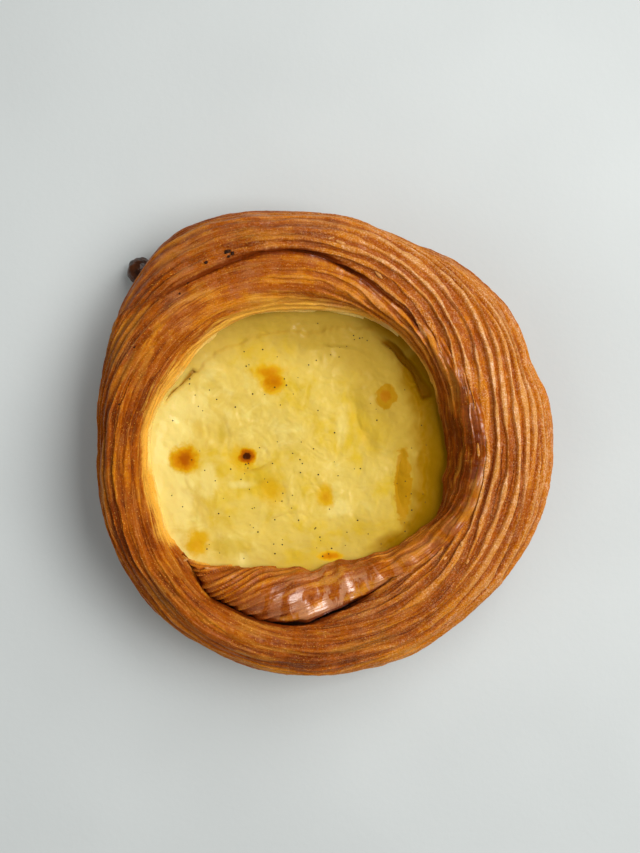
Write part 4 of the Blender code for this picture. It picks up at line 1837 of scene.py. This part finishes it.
@dataclass(frozen=True)
class Studio:
    """Pale floor, soft light from the right and a camera straight above."""

    camera_at: Spot = (-1.4, 4.1, 320.0)
    lens: float = 54.3
    daylight: Tint = (1.0, 0.995, 0.985)
    floor_colour: Colour = (0.605, 0.632, 0.625, 1.0)
    floor_half: float = 1500.0

    def build(self) -> None:
        """Make the camera, the lights and the floor."""
        scene = bpy.context.scene
        scene.view_settings.view_transform = "Standard"
        lens = bpy.data.cameras.new("camera")
        lens.lens = self.lens
        lens.sensor_width = 36.0
        lens.clip_start = 0.01
        scene.camera = add_object("camera", lens)
        scene.camera.location = Vector(self.camera_at) * MM
        self._light("window_right", (309.0, 27.0, 537.0), 350.0, 2.95, self.daylight)
        self._light("window_back", (272.0, 324.0, 453.0), 350.0, 1.5, self.daylight)
        wall = self._light("pale_wall", (-374.0, -136.0, 475.0), 500.0, 0.85, (0.97, 1.0, 1.0))
        wall.visible_glossy = False
        self._world()
        self._floor()

    @staticmethod
    def _light(name: str, at: Spot, size: float, power: float, colour: Tint) -> bpy.types.Object:
        """Add a square light that looks at the pastry.

        Args:
            name: The light's name.
            at: Its place in millimetres.
            size: The length of its sides in millimetres.
            power: Its power in watts.
            colour: Its colour.

        Returns:
            The light.
        """
        data = bpy.data.lights.new(name, "AREA")
        data.size = size * MM
        data.energy = power
        data.color = colour
        made = add_object(name, data)
        made.location = Vector(at) * MM
        made.rotation_euler = (-Vector(at)).to_track_quat("-Z", "Y").to_euler()
        return made

    @staticmethod
    def _world() -> None:
        """Even pale surroundings."""
        world = bpy.data.worlds.new("surroundings")
        bpy.context.scene.world = world
        world.use_nodes = True
        graph = Graph(world.node_tree)
        glow = graph.node("ShaderNodeBackground", {}, {"Color": (0.97, 1.0, 1.0, 1.0), "Strength": 0.13})
        graph.node("ShaderNodeOutputWorld", {}, {"Surface": glow.outputs[0]})

    def _floor(self) -> None:
        """A wide pale sheet under the pastry."""
        mesh = bpy.data.meshes.new("floor")
        half = self.floor_half * MM
        corners = [(-half, -half, 0.0), (half, -half, 0.0), (half, half, 0.0), (-half, half, 0.0)]
        mesh.from_pydata(corners, [], [(0, 1, 2, 3)])
        paper = bpy.data.materials.new("paper")
        graph = FinishGraph(paper, {"Specular IOR Level": 0.2})
        cloud = graph.noise(graph.place, 0.012, 3.0, 0.5)
        darker = tuple(value * 0.94 for value in self.floor_colour[:3]) + (1.0,)
        graph.drive("Base Color", graph.mix(graph.smooth(cloud, 0.3, 0.7), darker, self.floor_colour))
        graph.drive("Roughness", 0.8 + (cloud - 0.5) * 0.1)
        graph.bump(graph.noise(graph.place, 0.5, 2.0, 0.5), 0.05)
        mesh.materials.append(paper)
        add_object("floor", mesh)


def strip_turns(coil: Coil, look: StripLook, relief: FormGraph) -> list[bpy.types.Object]:
    """Build the four shells of the strip, from its inner end to its outer end.

    Args:
        coil: The plan and heights.
        look: The strip's surface.
        relief: The relief's tree.

    Returns:
        The shells.
    """
    names = ("crust_inner_low", "crust_inner_high", "crust_outer_low", "crust_outer_high")
    spans = zip(names, coil.joints, coil.joints[1:])
    return [StripTurn(name, coil, look, first, last).build(relief) for name, first, last in spans]


def main() -> None:
    """Build the pastry's looks round its frame, in order."""
    logging.basicConfig(level=logging.INFO, format="%(message)s")
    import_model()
    Studio().build()
    coil, look = Coil(), StripLook()
    relief = leaf_relief(BakedDough().material())
    crust = strip_turns(coil, look, relief)
    custard = Custard("custard_filling", coil).build(CustardCream().material())
    crust.append(Base("crust_base", coil, look).build(relief))
    seeds = Seeds("vanilla_seeds").build(custard, VANILLA.material())
    drop = BurntBead("burnt_drop").build(BURNT_SUGAR.material())
    bpy.context.view_layer.update()
    specks = Crumbs("char_specks", CrumbKind.CHAR, CHAR_BITS).build(crust)
    flakes = Crumbs("loose_flakes", CrumbKind.FLAKE, FLAKE_BITS).build(crust)
    pieces = [(piece, "pastry", "baked_dough") for piece in crust]
    pieces += [(piece, "custard", "custard_cream") for piece in (custard, seeds)]
    pieces.append((drop, "burnt_bead", "burnt_sugar"))
    pieces += [(piece, "pastry", "baked_dough") for piece in (specks, flakes)]
    for piece, node, slot in pieces:
        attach(piece, BODY)
        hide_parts(node)
        LOG.info("%s: %d triangles", piece.name, sum(len(face.vertices) - 2 for face in piece.data.polygons))


if __name__ == "__main__":
    main()
